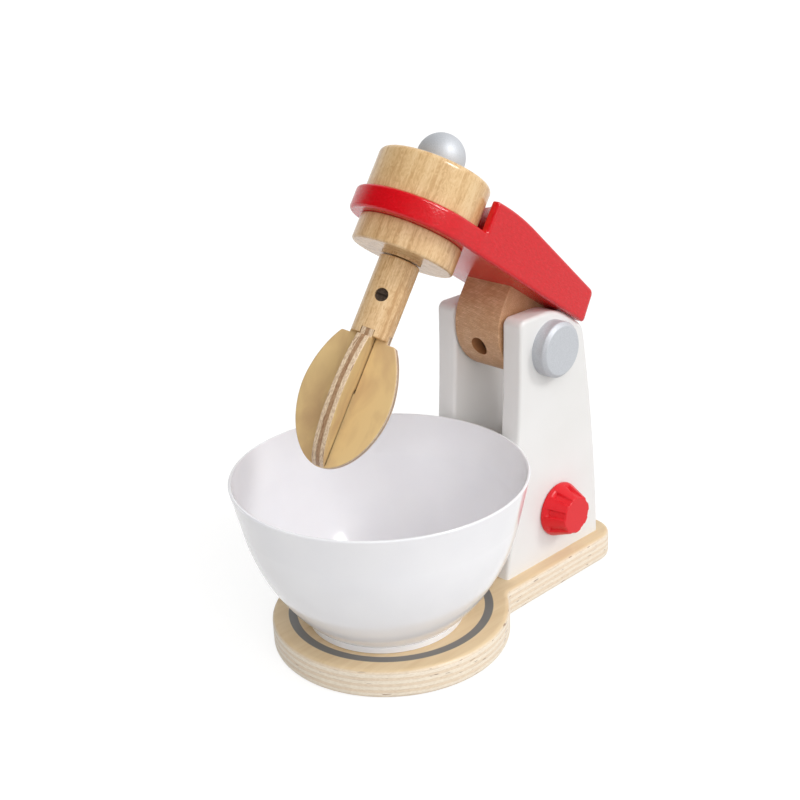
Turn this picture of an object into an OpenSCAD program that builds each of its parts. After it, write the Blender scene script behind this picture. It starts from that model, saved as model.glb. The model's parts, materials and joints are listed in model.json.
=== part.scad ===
// Toy stand mixer in wood, with a loose plastic bowl.
// Millimetres. +Z is up, -Y is the bowl end and +X is the side with the knob.
// The origin is the centre of the round end of the base, on the surface it stands on.
// The head is drawn with its beater upright and then tilted back on the hinge.

/* [Base board] */
// Thickness of the plywood base
base_t = 12; // [9:0.5:16]
// Diameter of the round end under the bowl
disc_d = 97.2; // [88:0.5:110]
// Width of the straight tail under the column
tail_w = 58.4; // [50:0.2:66]
// Base that shows behind the column
tail_margin = 8.5; // [4:0.1:12]
// Corner radius at the rear of the tail
tail_corner_r = 13; // [2:0.5:16]
// Radius of the inside corner between the round end and the tail
neck_r = 6; // [2:0.5:10]
// Rounding of the base's top and bottom edges
base_edge_r = 2; // [0.5:0.25:3]

/* [Column] */
// Width across both cheeks
column_w = 46; // [41:0.5:50]
// Thickness of each cheek
cheek_t = 10; // [8:0.25:11]
// Distance from the bowl's ring centre to the front of the column's foot
column_front = 46; // [42:0.5:52]
// Length of the column along the base
column_len = 61.8; // [58:0.2:70]
// How far the front face sweeps back on its way up
front_sweep = 10; // [6:0.5:13]
// How far the rear face leans forward on its way up
rear_lean = 12; // [8:0.5:13]
// Bulge of the rear face
rear_bulge = 1.8; // [0.5:0.1:2.6]
// Radius of the top front corner
front_corner_r = 3.5; // [1.5:0.5:5]
// Radius of the top rear corner
rear_corner_r = 7; // [4:0.5:9]
// Radius that blends the flat top into the slope behind it
crown_r = 24; // [14:1:30]
// Rounding of the cheeks' edges
cheek_edge_r = 1.6; // [1:0.2:3]
// Thickness of the spine between the cheeks, at its foot
spine_t = 23; // [18:0.5:24]
// Distance from the hinge's centre down to the spine's top
spine_drop = 46.3; // [40:0.1:47]
// Diameter of the dowels that join the cheeks and the spine
dowel_d = 8; // [6:0.5:10]
// Depth of the dowels in each cheek
dowel_bite = 6; // [4:0.5:7]
// Height of the lower dowel above the tips of the base screws
dowel_low = 8; // [6:0.5:12]
// Distance between the two dowels
dowel_pitch = 14; // [12:1:16]
// Distance from the spine's front to its dowels
dowel_back = 10; // [7:0.5:13]

/* [Hinge] */
// Height of the hinge's centre above the base
hinge_h = 96.3; // [92:0.1:102]
// Distance from the column's front foot to the hinge's centre
hinge_back = 28.3; // [27:0.1:30]
// Diameter of the steel hinge pin
pin_d = 6; // [4:0.5:8]
// Diameter of the round cap over each end of the pin
cap_d = 23.5; // [20:0.5:26]
// Thickness of each cap
cap_t = 6.5; // [4:0.25:8]
// Bevel round each cap's face
cap_bevel = 1.5; // [0.6:0.1:2.2]
// Diameter of the plug behind each cap
plug_d = 10; // [8.5:0.5:13]
// Length of the plug behind each cap
plug_len = 3; // [2:0.25:4]
// Thickness of the washers beside the hinge block
washer_t = 0.8; // [0.5:0.1:1.2]
// Diameter of the washers beside the hinge block
washer_d = 14; // [12:0.5:18]
// How far the head is tilted back
head_tilt = 34; // [28:1:36]
// Height of the arm's underside above the hinge's centre, with the head level
arm_seat = 15.7; // [14.5:0.1:17]
// Width of the hinge block
block_w = 24; // [21:0.5:24.5]
// Radius of the hinge block's round front
block_r = 22.4; // [20:0.2:23]
// Distance from the hinge's centre forward to the block's front face
block_front = 24.2; // [21:0.2:25]
// Distance from the hinge's centre back to the block's rear face
block_rear = 9.7; // [8.5:0.1:10]
// Distance from the hinge's centre down to the block's underside
block_drop = 14; // [11:0.5:15]
// Diameter of the hole for the block's set screw
set_hole_d = 7.8; // [6:0.1:8.5]
// Slope of the set screw below the level, with the head level
set_slope = 33; // [25:1:40]
// Length of the block's set screw
set_len = 8.5; // [5:0.5:11]

/* [Arm] */
// Width of the arm
arm_w = 50.5; // [46:0.5:56]
// Thickness of the arm's flat front
plate_t = 9; // [7:0.5:11]
// Height of the arm's hump above the flat front
hump_h = 12.9; // [9:0.1:16]
// Distance from the hinge's centre back to the arm's rear end
arm_rear = 13.2; // [11:0.1:14]
// How far the arm's rear end leans forward at its top
arm_rear_lean = 1.5; // [0:0.1:3]
// Distance from the drum's axis back to the highest point of the hump
crest_back = 21.5; // [16:0.5:30]
// Radius of the hump's crest, seen from the side
crest_r = 110; // [60:5:160]
// Slope of the hump behind its crest
hump_slope = 8.3; // [5:0.1:11]
// Gap between the upper drum and the scooped front of the hump
scoop_gap = 2.5; // [1:0.1:4]
// Distance from the drum's axis back to the hump's front beside the scoop
scoop_land = 12; // [10:0.5:15]
// Diameter of the dowels between the arm and the hinge block
arm_dowel_d = 6; // [4:0.5:8]
// Depth of those dowels in the arm and in the block
arm_dowel_bite = 7; // [5:0.5:8]
// Distance from the block's front to the front dowel
arm_dowel_front = 7; // [5:0.5:9]
// Distance from the block's rear to the rear dowel
arm_dowel_back = 6; // [4.5:0.25:6.5]

/* [Drum and ball] */
// Distance from the hinge's centre forward to the drum's axis
drum_reach = 75.8; // [72:0.2:80]
// Diameter of the upper drum
drum_d = 44.8; // [38:0.2:46]
// Height of the upper drum
drum_h = 17; // [12:0.2:24]
// Diameter of the lower disc
disc2_d = 40.5; // [34:0.5:46]
// Height of the lower disc
disc2_h = 10.1; // [7:0.1:14]
// Rounding of the drum's top edge
drum_edge_r = 2.4; // [1:0.2:4]
// Rounding of the disc's bottom edge
disc2_edge_r = 1; // [0.5:0.1:3]
// Diameter of the ball
ball_d = 19; // [16:0.2:24]
// Height of the ball's centre above the drum
ball_rise = 4.4; // [3:0.1:6]
// Diameter of the spindle
spindle_d = 8; // [6:0.5:9]
// Length of the spindle past the dowel's screw hole
spindle_past = 2; // [1:0.5:4]

/* [Beater] */
// Thickness of the spacer under the lower disc
collar_t = 1; // [0.6:0.1:3]
// Diameter of the beater's dowel and of the spacer
holder_d = 16; // [14.5:0.5:20]
// Length of the beater's dowel
holder_len = 30.7; // [26:0.1:38]
// Rounding of the dowel's ends
holder_edge_r = 0.7; // [0.3:0.1:1.2]
// Depth of the crossed slots in the dowel's end
slot_depth = 2.4; // [1.5:0.1:5]
// Diameter of the screw hole in the dowel's side
side_hole_d = 5.2; // [4:0.2:6]
// Distance from the dowel's lower end to its screw hole
side_hole_up = 15.6; // [13:0.2:18]
// Depth of the screw's head below the dowel's surface
side_screw_sink = 1.2; // [0.5:0.1:2]
// Thickness of the two blades
blade_t = 5; // [3:0.25:5.5]
// Half of each blade's greatest width
blade_half_w = 17.8; // [15:0.2:24]
// Height of each blade below its widest place
blade_low = 28.2; // [23:0.1:29]
// Height of each blade above its widest place, up to its flat top
blade_high = 23.2; // [19:0.1:26]
// Height above the widest place at which the upper curve would close to a point
blade_close = 31.2; // [28:0.1:36]
// Roundness of the blade's lower half, where 2 is an ellipse and more is squarer
blade_low_power = 1.9; // [1.7:0.1:2.4]
// Roundness of the blade's upper half
blade_high_power = 1.8; // [1.6:0.1:2.4]
// Gap between the blades' flat tops and the dowel's end
blade_gap = 0.7; // [0.3:0.1:1.5]
// Height of the blades' halving joint above their widest place
blade_joint = 2.3; // [-3:0.1:5]
// Clearance of the blades' slits
blade_fit = 0.3; // [0.1:0.05:0.5]
// Turn of the beater about its axis
beater_turn = 30; // [0:5:45]

/* [Knob] */
// Distance from the column's front foot back to the knob's centre
knob_back = 33.4; // [28:0.2:33.4]
// Height of the knob's centre above the base
knob_h = 21.4; // [17:0.2:30]
// Diameter of the knob at the cheek
knob_d = 23.8; // [18:0.2:25]
// Diameter of the knob's face
knob_face_d = 16.6; // [12:0.2:18]
// Length of the knob
knob_len = 10.2; // [8:0.2:14]
// Straight skirt of the knob beside the cheek
knob_skirt = 1; // [0.5:0.1:2]
// Rounding round the knob's face
knob_edge_r = 1.2; // [0.4:0.1:1.6]
// Number of grooves round the knob
knob_grooves = 8; // [6:1:12]
// Width of each groove
groove_w = 3.2; // [2:0.1:3.6]
// Depth of each groove where it starts
groove_depth = 1.8; // [0.8:0.1:2]
// How far each groove leans in towards the knob's face
groove_lean = 10; // [6:1:16]
// Turn of the grooves about the knob's axis
groove_turn = 30; // [0:5:45]
// Distance from the knob's back to the start of its grooves
groove_start = 2; // [1.5:0.1:4]
// Diameter of the screw that the knob turns on
axle_d = 5; // [4:0.25:6]
// Diameter of that screw's head, inside the cheek
axle_head_d = 8.6; // [7:0.2:9]
// Thickness of that screw's head
axle_head_t = 2; // [1.2:0.2:3]

/* [Bowl] */
// Diameter of the bowl's rim
rim_d = 117; // [100:0.2:124]
// Height of the bowl
bowl_h = 63; // [52:0.5:68]
// Thickness of the bowl's wall
bowl_wall = 2; // [1.5:0.1:2.8]
// Diameter of the bowl's foot
foot_d = 63; // [54:0.5:68]
// Height of the bowl's foot
foot_h = 3.4; // [2:0.2:5]
// Width of the ring that the bowl stands on
foot_band = 2.2; // [1.6:0.1:4]
// Height of the hollow inside that ring
foot_hollow = 1.2; // [0.5:0.1:1.6]
// Thickness of the bowl's floor where the foot's height ends
floor_drop = 0.6; // [0.3:0.1:1]
// Radius of the round lower part of the wall
belly_r = 80; // [60:1:90]
// Part of the bowl's height that is straight
flare_h = 16.5; // [8:0.5:24]
// Flare of that straight part on the radius
flare = 3.5; // [1:0.1:5]
// Distance that the bowl stands to the side of the ring's centre
bowl_side = 2.3; // [0:0.1:3]
// Gap between the bowl's rim and the column
bowl_gap = 0.3; // [0.3:0.1:3]

/* [Fits] */
// Radial clearance of what turns
run_fit = 0.06; // [0.03:0.01:0.09]
// Radial clearance of what is glued or screwed in
glue_fit = 0.03; // [0.01:0.01:0.1]
// Gap between faces that pass each other
face_gap = 0.3; // [0.2:0.05:0.5]
// Gap above the beater's dowel, under its spacer
holder_gap = 0.5; // [0.3:0.1:1]
// Shank diameter of the base screws
screw_d = 3.5; // [3:0.25:4.5]
// Head diameter of the base screws
screw_head_d = 7; // [6:0.25:8]
// Length of the base screws
screw_len = 32; // [24:1:40]
// Thickness of the base screws' heads
screw_head_t = 2.4; // [2:0.2:3.4]
// Depth of the base screws' heads below the base's underside
screw_sink = 0.6; // [0.3:0.1:2]
// Distance from the column's front and rear to the base screws
screw_inset = 13; // [9:0.5:16]
// Size of the hexagon socket as a share of the set screw
socket_share = 0.45; // [0.35:0.05:0.6]

/* [Hidden] */

$fn = 72;
arc_steps = 10;
through = 1;
ply_colour = "burlywood";
beech_colour = "tan";
dark_beech_colour = "peru";
white_paint = "white";
silver_paint = "silver";
red_paint = "red";
steel_colour = "gray";

// Column
slot_w = column_w - 2 * cheek_t;
column_y0 = column_front;
column_y1 = column_front + column_len;
hinge_y = column_y0 + hinge_back;
hinge_z = base_t + hinge_h;
column_top = hinge_z + arm_seat - face_gap;
front_top_y = column_y0 + front_sweep;
rear_top_y = column_y1 - rear_lean;
front_rise = column_top - base_t;
sweep_r = (pow(front_rise, 2) + pow(front_sweep, 2)) / (2 * front_sweep);
spine_top = hinge_z - spine_drop;
spine_y = column_y1 - spine_t;
cheek_mid = column_w / 2 - cheek_t / 2;
tail_y = column_y1 + tail_margin;
screw_rows = [column_y0 + screw_inset, column_y1 - screw_inset];
screw_tip = screw_sink + screw_len;
dowel_y = spine_y + dowel_back;
dowel_heights = [screw_tip + dowel_low, screw_tip + dowel_low + dowel_pitch];

// Head, all heights with the head level
arm_z = hinge_z + arm_seat;
plate_z = arm_z + plate_t;
crest_z = plate_z + hump_h;
drum_y = hinge_y - drum_reach;
drum_z0 = plate_z + face_gap;
drum_z = drum_z0 + drum_h;
disc2_z = arm_z - disc2_h;
holder_z1 = disc2_z - collar_t - holder_gap;
holder_z0 = holder_z1 - holder_len;
slot_z = holder_z0 + slot_depth;
ball_z = drum_z + ball_rise;
spindle_z0 = holder_z0 + side_hole_up - side_hole_d / 2 - spindle_past;
spindle_z1 = ball_z + ball_d / 4;
scoop_r = drum_d / 2 + scoop_gap;
blade_mid_z = holder_z0 - blade_gap - blade_high;

// Knob and bowl
knob_y = column_y0 + knob_back;
knob_z = base_t + knob_h;
knob_bore = 3 * knob_len / 5;
rim_r = rim_d / 2;
front_at_rim = front_y(base_t + bowl_h);
bowl_y = front_at_rim - rim_r - bowl_gap;
shoulder_r = rim_r - flare;
shoulder_h = bowl_h - flare_h;
bowl_floor = foot_h - floor_drop;

// The front face is one arc that ends upright at the top.
function front_y(z) = front_top_y - sweep_r + sqrt(pow(sweep_r, 2) - pow(column_top - z, 2));

function arc(centre, r, a0, a1, steps = arc_steps) =
    [for (i = [0 : steps]) let (a = a0 + (a1 - a0) * i / steps) centre + r * [cos(a), sin(a)]];

// Points of an arc that rounds the corner b between the sides towards a and c.
function corner(a, b, c, r, steps = arc_steps) =
    let (
        u = (a - b) / norm(a - b),
        v = (c - b) / norm(c - b),
        half = acos(u * v) / 2,
        centre = b + (u + v) / norm(u + v) * r / sin(half),
        p = b + u * r / tan(half) - centre,
        q = b + v * r / tan(half) - centre,
        a0 = atan2(p[1], p[0]),
        turn = atan2(p[0] * q[1] - p[1] * q[0], p * q)
    ) arc(centre, r, a0, a0 + turn, steps);

// Centre of the circle of radius r through p and q, on the left of the way from p to q.
function circle_centre(p, q, r) =
    let (d = q - p, h = sqrt(pow(r, 2) - pow(norm(d) / 2, 2)))
    (p + q) / 2 + h * [-d[1], d[0]] / norm(d);

// Inset of an edge of rounding r at a depth below the face.
function edge_inset(r, depth) = r - sqrt(pow(r, 2) - pow(r - depth, 2));

module tilt_head() {
    translate([0, hinge_y, hinge_z])
        rotate([-head_tilt, 0, 0])
        translate([0, -hinge_y, -hinge_z])
        children();
}

module on_drum_axis(z = 0) {
    tilt_head() translate([0, drum_y, z]) children();
}

module along_x(x, y, z) {
    translate([x, y, z]) rotate([0, 90, 0]) children();
}

// Extrudes a (y, z) outline across X, centred on x = 0.
module across(width) {
    rotate([90, 0, 90]) translate([0, 0, -width / 2]) linear_extrude(width) children();
}

// ---- Base -------------------------------------------------------------------------------

// Plan of the base, drawn in by an inset: a disc, a tail and the fillets between them.
module base_plan(inset) {
    r = disc_d / 2 - inset;
    w = tail_w / 2 - inset;
    n = neck_r + inset;
    neck_x = w + n;
    neck_y = sqrt(pow(r + n, 2) - pow(neck_x, 2));
    touch = atan2(neck_y, neck_x);
    rear = tail_y - inset;
    c = tail_corner_r - inset;
    polygon(concat(
        arc([0, 0], r, 180 - touch, 360 + touch, 6 * arc_steps),
        arc([neck_x, neck_y], n, 180 + touch, 180),
        arc([w - c, rear - c], c, 0, 90),
        arc([c - w, rear - c], c, 90, 180),
        arc([-neck_x, neck_y], n, 0, -touch)
    ));
}

module base_board() {
    edge = base_edge_r / 2;
    color(ply_colour)
    difference() {
        union() {
            for (z = [0, base_t - edge])
                translate([0, 0, z]) linear_extrude(edge) base_plan(edge_inset(base_edge_r, edge / 2));
            translate([0, 0, edge]) linear_extrude(base_t - 2 * edge) base_plan(0);
        }
        for (x = [-cheek_mid, cheek_mid], y = screw_rows) translate([x, y, 0]) {
            translate([0, 0, -through]) cylinder(h = base_t + 2 * through, d = screw_d + 2 * glue_fit);
            translate([0, 0, -through])
                cylinder(h = screw_sink + screw_head_t + through, d = screw_head_d + 2 * face_gap);
        }
    }
}

module base_screws() {
    color(steel_colour)
    for (x = [-cheek_mid, cheek_mid], y = screw_rows)
        translate([x, y, screw_sink]) {
            cylinder(h = screw_head_t, d = screw_head_d);
            cylinder(h = screw_len, d = screw_d);
        }
}

// ---- Column -----------------------------------------------------------------------------

// Side view of the column in (y, z). Behind the flat top a slope lies along the tilted arm.
module column_outline() {
    below = base_t - 2 * cheek_edge_r;
    stop = [sin(head_tilt), cos(head_tilt)];
    stop_reach = arm_seat - face_gap;
    crown_y = hinge_y + (stop_reach - (column_top - hinge_z) * stop[1]) / stop[0];
    crown = [crown_y, column_top];
    rear_top_z = hinge_z + (stop_reach - (rear_top_y - hinge_y) * stop[0]) / stop[1];
    rear_top = [rear_top_y, rear_top_z];
    rear_foot = [column_y1, base_t];
    chord = norm(rear_top - rear_foot);
    bulge_r = (pow(chord / 2, 2) + pow(rear_bulge, 2)) / (2 * rear_bulge);
    bulge_c = circle_centre(rear_foot, rear_top, bulge_r);
    foot_a = atan2(rear_foot[1] - bulge_c[1], rear_foot[0] - bulge_c[0]);
    top_a = atan2(rear_top[1] - bulge_c[1], rear_top[0] - bulge_c[0]);
    rear = arc(bulge_c, bulge_r, foot_a, top_a - asin(rear_corner_r / bulge_r), arc_steps);
    front_top = [front_top_y, column_top];
    polygon(concat(
        [for (i = [0 : arc_steps]) let (z = base_t + (front_rise - 2 * front_corner_r) * i / arc_steps)
            [front_y(z), z]],
        corner([front_top_y, base_t], front_top, crown, front_corner_r),
        corner(front_top, crown, rear_top, crown_r),
        corner(crown, rear_top, rear[arc_steps], rear_corner_r),
        [for (i = [0 : arc_steps]) rear[arc_steps - i]],
        [[column_y1, below], [column_y0, below]]
    ));
}

// A slab of the column, drawn in by an inset on all sides but its foot.
module column_slab(width, inset) {
    across(width) intersection() {
        offset(delta = -inset) column_outline();
        translate([column_y0, base_t]) square([column_len, column_top]);
    }
}

// One cheek, on the +X side. Its edges are rounded in two steps.
module cheek_blank() {
    step = cheek_edge_r / 3;
    translate([cheek_mid, 0, 0]) {
        column_slab(cheek_t, edge_inset(cheek_edge_r, step / 2));
        column_slab(cheek_t - 2 * step, edge_inset(cheek_edge_r, 1.5 * step));
        column_slab(cheek_t - 4 * step, 0);
    }
}

module cheek(side) {
    inner = slot_w / 2;
    outer = column_w / 2;
    color(white_paint)
    mirror([side < 0 ? 1 : 0, 0, 0])
    difference() {
        cheek_blank();
        along_x(inner - through, hinge_y, hinge_z)
            cylinder(h = cheek_t + 2 * through, d = pin_d + 2 * run_fit);
        along_x(outer - plug_len - face_gap, hinge_y, hinge_z)
            cylinder(h = plug_len + through, d = plug_d + 2 * glue_fit);
        for (z = dowel_heights) along_x(inner - through, dowel_y, z)
            cylinder(h = dowel_bite + face_gap + through, d = dowel_d + 2 * glue_fit);
        for (y = screw_rows) translate([cheek_mid, y, base_t - through])
            cylinder(h = screw_tip - base_t + through + face_gap, d = screw_d + 2 * glue_fit);
        if (side > 0) along_x(inner - through, knob_y, knob_z)
            cylinder(h = cheek_t + 2 * through, d = axle_d + 2 * run_fit);
    }
}

module cheek_right() cheek(1);
module cheek_left() cheek(-1);

module spine() {
    color(white_paint)
    difference() {
        across(slot_w) intersection() {
            offset(delta = -cheek_edge_r / 3) column_outline();
            translate([spine_y, base_t]) square([spine_t, spine_top - base_t]);
        }
        for (z = dowel_heights) along_x(-column_w / 2, dowel_y, z)
            cylinder(h = column_w, d = dowel_d + 2 * glue_fit);
    }
}

module cheek_dowels() {
    len = slot_w + 2 * dowel_bite;
    color(beech_colour)
    for (z = dowel_heights) along_x(-len / 2, dowel_y, z) cylinder(h = len, d = dowel_d);
}

// ---- Hinge ------------------------------------------------------------------------------

module hinge_pin() {
    len = column_w - 2 * (plug_len + face_gap);
    color(steel_colour) along_x(-len / 2, hinge_y, hinge_z) cylinder(h = len, d = pin_d);
}

module hinge_washers() {
    color("dimgray")
    for (side = [-1, 1]) along_x(side * (slot_w - washer_t) / 2 - washer_t / 2, hinge_y, hinge_z)
        difference() {
            cylinder(h = washer_t, d = washer_d);
            translate([0, 0, -through]) cylinder(h = washer_t + 2 * through, d = pin_d + 2 * run_fit);
        }
}

module hinge_cap(side) {
    r = cap_d / 2;
    color(silver_paint)
    mirror([side < 0 ? 1 : 0, 0, 0])
    along_x(column_w / 2, hinge_y, hinge_z)
    rotate_extrude()
        polygon([[0, -plug_len], [plug_d / 2, -plug_len], [plug_d / 2, 0], [r, 0],
            [r, cap_t - cap_bevel], [r - cap_bevel, cap_t], [0, cap_t]]);
}

module hinge_cap_right() hinge_cap(1);
module hinge_cap_left() hinge_cap(-1);

// Side view of the hinge block: a flat top under the arm, a round front and a small round rear.
module block_outline() {
    top = arm_z;
    bottom = hinge_z - block_drop;
    front = hinge_y - block_front;
    rear = hinge_y + block_rear;
    polygon(concat(
        [[rear, top], [front, top]],
        arc([front + block_r, bottom + block_r], block_r, 180, 270, 2 * arc_steps),
        arc([rear - block_rear, bottom + block_rear], block_rear, 270, 360)
    ));
}

// Places a child at the hinge's centre with its Z along the set screw's way out.
module along_set_screw() {
    translate([0, hinge_y, hinge_z]) rotate([90 + set_slope, 0, 0]) children();
}

module hinge_block() {
    color(dark_beech_colour)
    tilt_head() difference() {
        across(block_w) block_outline();
        along_x(-block_w / 2 - through, hinge_y, hinge_z)
            cylinder(h = block_w + 2 * through, d = pin_d + 2 * glue_fit);
        along_set_screw() cylinder(h = block_front + block_r, d = set_hole_d);
        arm_dowel_holes();
    }
}

module block_screw() {
    socket_d = set_hole_d * socket_share;
    color(steel_colour)
    tilt_head() along_set_screw() translate([0, 0, pin_d / 2 + glue_fit]) difference() {
        cylinder(h = set_len, d = set_hole_d - 2 * glue_fit);
        translate([0, 0, set_len - socket_d]) cylinder(h = socket_d + through, d = socket_d, $fn = 6);
    }
}

function arm_dowel_rows() = [hinge_y - block_front + arm_dowel_front, hinge_y + block_rear - arm_dowel_back];

module arm_dowel_holes() {
    for (y = arm_dowel_rows()) translate([0, y, arm_z - arm_dowel_bite - face_gap])
        cylinder(h = 2 * (arm_dowel_bite + face_gap), d = arm_dowel_d + 2 * glue_fit);
}

module block_dowels() {
    color(beech_colour)
    tilt_head() for (y = arm_dowel_rows()) translate([0, y, arm_z - arm_dowel_bite])
        cylinder(h = 2 * arm_dowel_bite, d = arm_dowel_d);
}

// ---- Arm --------------------------------------------------------------------------------

// Plan of the arm: a round front on the drum's axis and straight sides to the rear.
module arm_plan() {
    r = arm_w / 2;
    rear = hinge_y + arm_rear;
    polygon(concat(arc([0, drum_y], r, 180, 360, 4 * arc_steps), [[r, rear], [-r, rear]]));
}

// Side view of the arm: flat below, with a low crest that falls away to the rear.
module arm_side() {
    rear = hinge_y + arm_rear;
    end = rear - arm_rear_lean;
    front = drum_y - arm_w;
    crest_y = drum_y + crest_back;
    fall_y = crest_y + crest_r * sin(hump_slope);
    fall_z = crest_z - crest_r * (1 - cos(hump_slope));
    polygon(concat(
        [[front, arm_z], [rear, arm_z], [end, fall_z - (end - fall_y) * tan(hump_slope)]],
        arc([crest_y, crest_z - crest_r], crest_r, 90 - hump_slope, 90),
        [[front, crest_z]]
    ));
}

module arm() {
    color(red_paint)
    tilt_head() difference() {
        intersection() {
            translate([0, 0, arm_z]) linear_extrude(plate_t + hump_h) arm_plan();
            across(arm_w) arm_side();
        }
        translate([0, drum_y, plate_z]) cylinder(h = hump_h + through, r = scoop_r);
        translate([-arm_w, drum_y - arm_w, plate_z]) cube([2 * arm_w, arm_w + scoop_land, hump_h + through]);
        translate([0, drum_y, 0]) spindle_hole(arm_z, plate_z);
        arm_dowel_holes();
    }
}

// ---- Drum, disc and spindle ---------------------------------------------------------------

module spindle_hole(z0, z1, fit = run_fit) {
    translate([0, 0, z0 - through]) cylinder(h = z1 - z0 + 2 * through, d = spindle_d + 2 * fit);
}

// A disc whose edge at one end is rounded: end 1 is the top and end -1 the bottom.
module rounded_disc(d, h, edge, end) {
    translate([0, 0, end > 0 ? 0 : h]) mirror([0, 0, end > 0 ? 0 : 1])
        rotate_extrude() polygon(concat(
            [[0, 0], [d / 2, 0]],
            arc([d / 2 - edge, h - edge], edge, 0, 90),
            [[0, h]]
        ));
}

module upper_drum() {
    color(beech_colour)
    on_drum_axis() difference() {
        translate([0, 0, drum_z0]) rounded_disc(drum_d, drum_h, drum_edge_r, 1);
        spindle_hole(drum_z0, drum_z, glue_fit);
    }
}

module lower_disc() {
    color(beech_colour)
    on_drum_axis() difference() {
        translate([0, 0, disc2_z]) rounded_disc(disc2_d, disc2_h, disc2_edge_r, -1);
        spindle_hole(disc2_z, arm_z);
    }
}

module collar() {
    color(beech_colour)
    on_drum_axis() difference() {
        translate([0, 0, disc2_z - collar_t]) cylinder(h = collar_t, d = holder_d);
        spindle_hole(disc2_z - collar_t, disc2_z);
    }
}

module spindle() {
    color(beech_colour)
    on_drum_axis(spindle_z0) cylinder(h = spindle_z1 - spindle_z0, d = spindle_d);
}

// The ball is cut flat where it is glued to the drum.
module ball_knob() {
    color(silver_paint)
    on_drum_axis() difference() {
        translate([0, 0, ball_z]) sphere(d = ball_d);
        translate([0, 0, drum_z - ball_d]) cylinder(h = ball_d, d = 2 * ball_d);
        translate([0, 0, drum_z - through])
            cylinder(h = spindle_z1 - drum_z + through + glue_fit, d = spindle_d + 2 * glue_fit);
    }
}

// ---- Beater -----------------------------------------------------------------------------

// Cross of the two blades, for the slots in the dowel's end.
module blade_cross(fit) {
    for (turn = [0, 90]) rotate([0, 0, beater_turn + turn])
        translate([-holder_d, -blade_t / 2 - fit, holder_z0 - holder_d])
        cube([2 * holder_d, blade_t + 2 * fit, holder_d + slot_depth]);
}

// Places a child on the drum's axis at the side hole, with its Z along the hole's way out.
module along_side_hole() {
    translate([0, 0, holder_z0 + side_hole_up]) rotate([90, 0, beater_turn]) children();
}

module beater_holder() {
    r = holder_d / 2;
    e = holder_edge_r;
    color(beech_colour)
    on_drum_axis() difference() {
        translate([0, 0, holder_z0]) rotate_extrude()
            polygon([[0, 0], [r - e, 0], [r, e], [r, holder_len - e], [r - e, holder_len], [0, holder_len]]);
        translate([0, 0, spindle_z0 - face_gap])
            cylinder(h = holder_z1 - spindle_z0 + 2 * through, d = spindle_d + 2 * glue_fit);
        along_side_hole() cylinder(h = holder_d, d = side_hole_d);
        blade_cross(0);
    }
}

module holder_screw() {
    seat = spindle_d / 2 + 2 * glue_fit;
    head = holder_d / 2 - side_screw_sink - seat;
    slot = side_hole_d / 6;
    color(steel_colour)
    on_drum_axis() along_side_hole() translate([0, 0, seat]) difference() {
        cylinder(h = head, d = side_hole_d - 2 * glue_fit);
        translate([-side_hole_d, -slot / 2, head - slot]) cube([2 * side_hole_d, slot, slot + through]);
    }
}

// Half width of a blade at a share of the way from its widest place to where its curve closes.
function blade_half(share, power) = blade_half_w * pow(max(0, 1 - pow(share, power)), 1 / power);

// Leaf-shaped outline in (across, z): a round tip, leaning sides and a flat top below the dowel.
module blade_outline() {
    steps = 3 * arc_steps;
    top_turn = asin(blade_high / blade_close);
    low = [for (i = [0 : steps]) let (s = cos(90 * i / steps))
        [blade_half(s, blade_low_power), -s * blade_low]];
    high = [for (i = [1 : steps]) let (s = sin(top_turn * i / steps))
        [blade_half(s, blade_high_power), s * blade_close]];
    half = concat(low, high);
    translate([0, blade_mid_z]) polygon(concat(half,
        [for (i = [len(half) - 1 : -1 : 1]) [-half[i][0], half[i][1]]]));
    tang = holder_d / 2 - face_gap;
    translate([-tang, blade_mid_z]) square([2 * tang, slot_z - blade_mid_z]);
}

// A blade in the plane of local X and Z, with half of its height slit for the other blade.
module blade(turn, slit_from_top) {
    slit = blade_t + 2 * blade_fit;
    slit_h = blade_low + blade_high + slot_depth;
    joint_z = blade_mid_z + blade_joint + (slit_from_top ? -blade_fit : blade_fit);
    on_drum_axis() rotate([0, 0, beater_turn + turn]) difference() {
        translate([0, blade_t / 2, 0]) rotate([90, 0, 0]) linear_extrude(blade_t) blade_outline();
        translate([-slit / 2, -blade_t, slit_from_top ? joint_z : joint_z - slit_h])
            cube([slit, 2 * blade_t, slit_h]);
    }
}

module blade_side() color(ply_colour) blade(0, true);
module blade_front() color(ply_colour) blade(90, false);

// ---- Knob -------------------------------------------------------------------------------

module knob() {
    r = knob_d / 2;
    f = knob_face_d / 2;
    color(red_paint)
    along_x(column_w / 2 + face_gap, knob_y, knob_z) difference() {
        rotate_extrude() polygon(concat(
            [[0, 0], [r, 0], [r, knob_skirt]],
            arc([f - knob_edge_r, knob_len - knob_edge_r], knob_edge_r, 0, 90),
            [[0, knob_len]]
        ));
        for (i = [0 : knob_grooves - 1]) rotate([0, 0, groove_turn + 360 * i / knob_grooves])
            translate([r - groove_depth + groove_w / 2, 0, 0]) rotate([0, -groove_lean, 0])
            translate([0, 0, groove_start]) cylinder(h = 2 * knob_len, d = groove_w, $fn = 24);
        translate([0, 0, -through]) cylinder(h = knob_bore + through, d = axle_d + 2 * glue_fit);
    }
}

// The screw is held in the knob and turns in the cheek, with its head in the slot.
module knob_screw() {
    head_z = -cheek_t - face_gap;
    color(steel_colour)
    along_x(column_w / 2, knob_y, knob_z) {
        translate([0, 0, head_z - axle_head_t]) cylinder(h = axle_head_t, d = axle_head_d);
        translate([0, 0, head_z]) cylinder(h = knob_bore + face_gap - glue_fit - head_z, d = axle_d);
    }
}

// ---- Bowl -------------------------------------------------------------------------------

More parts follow.
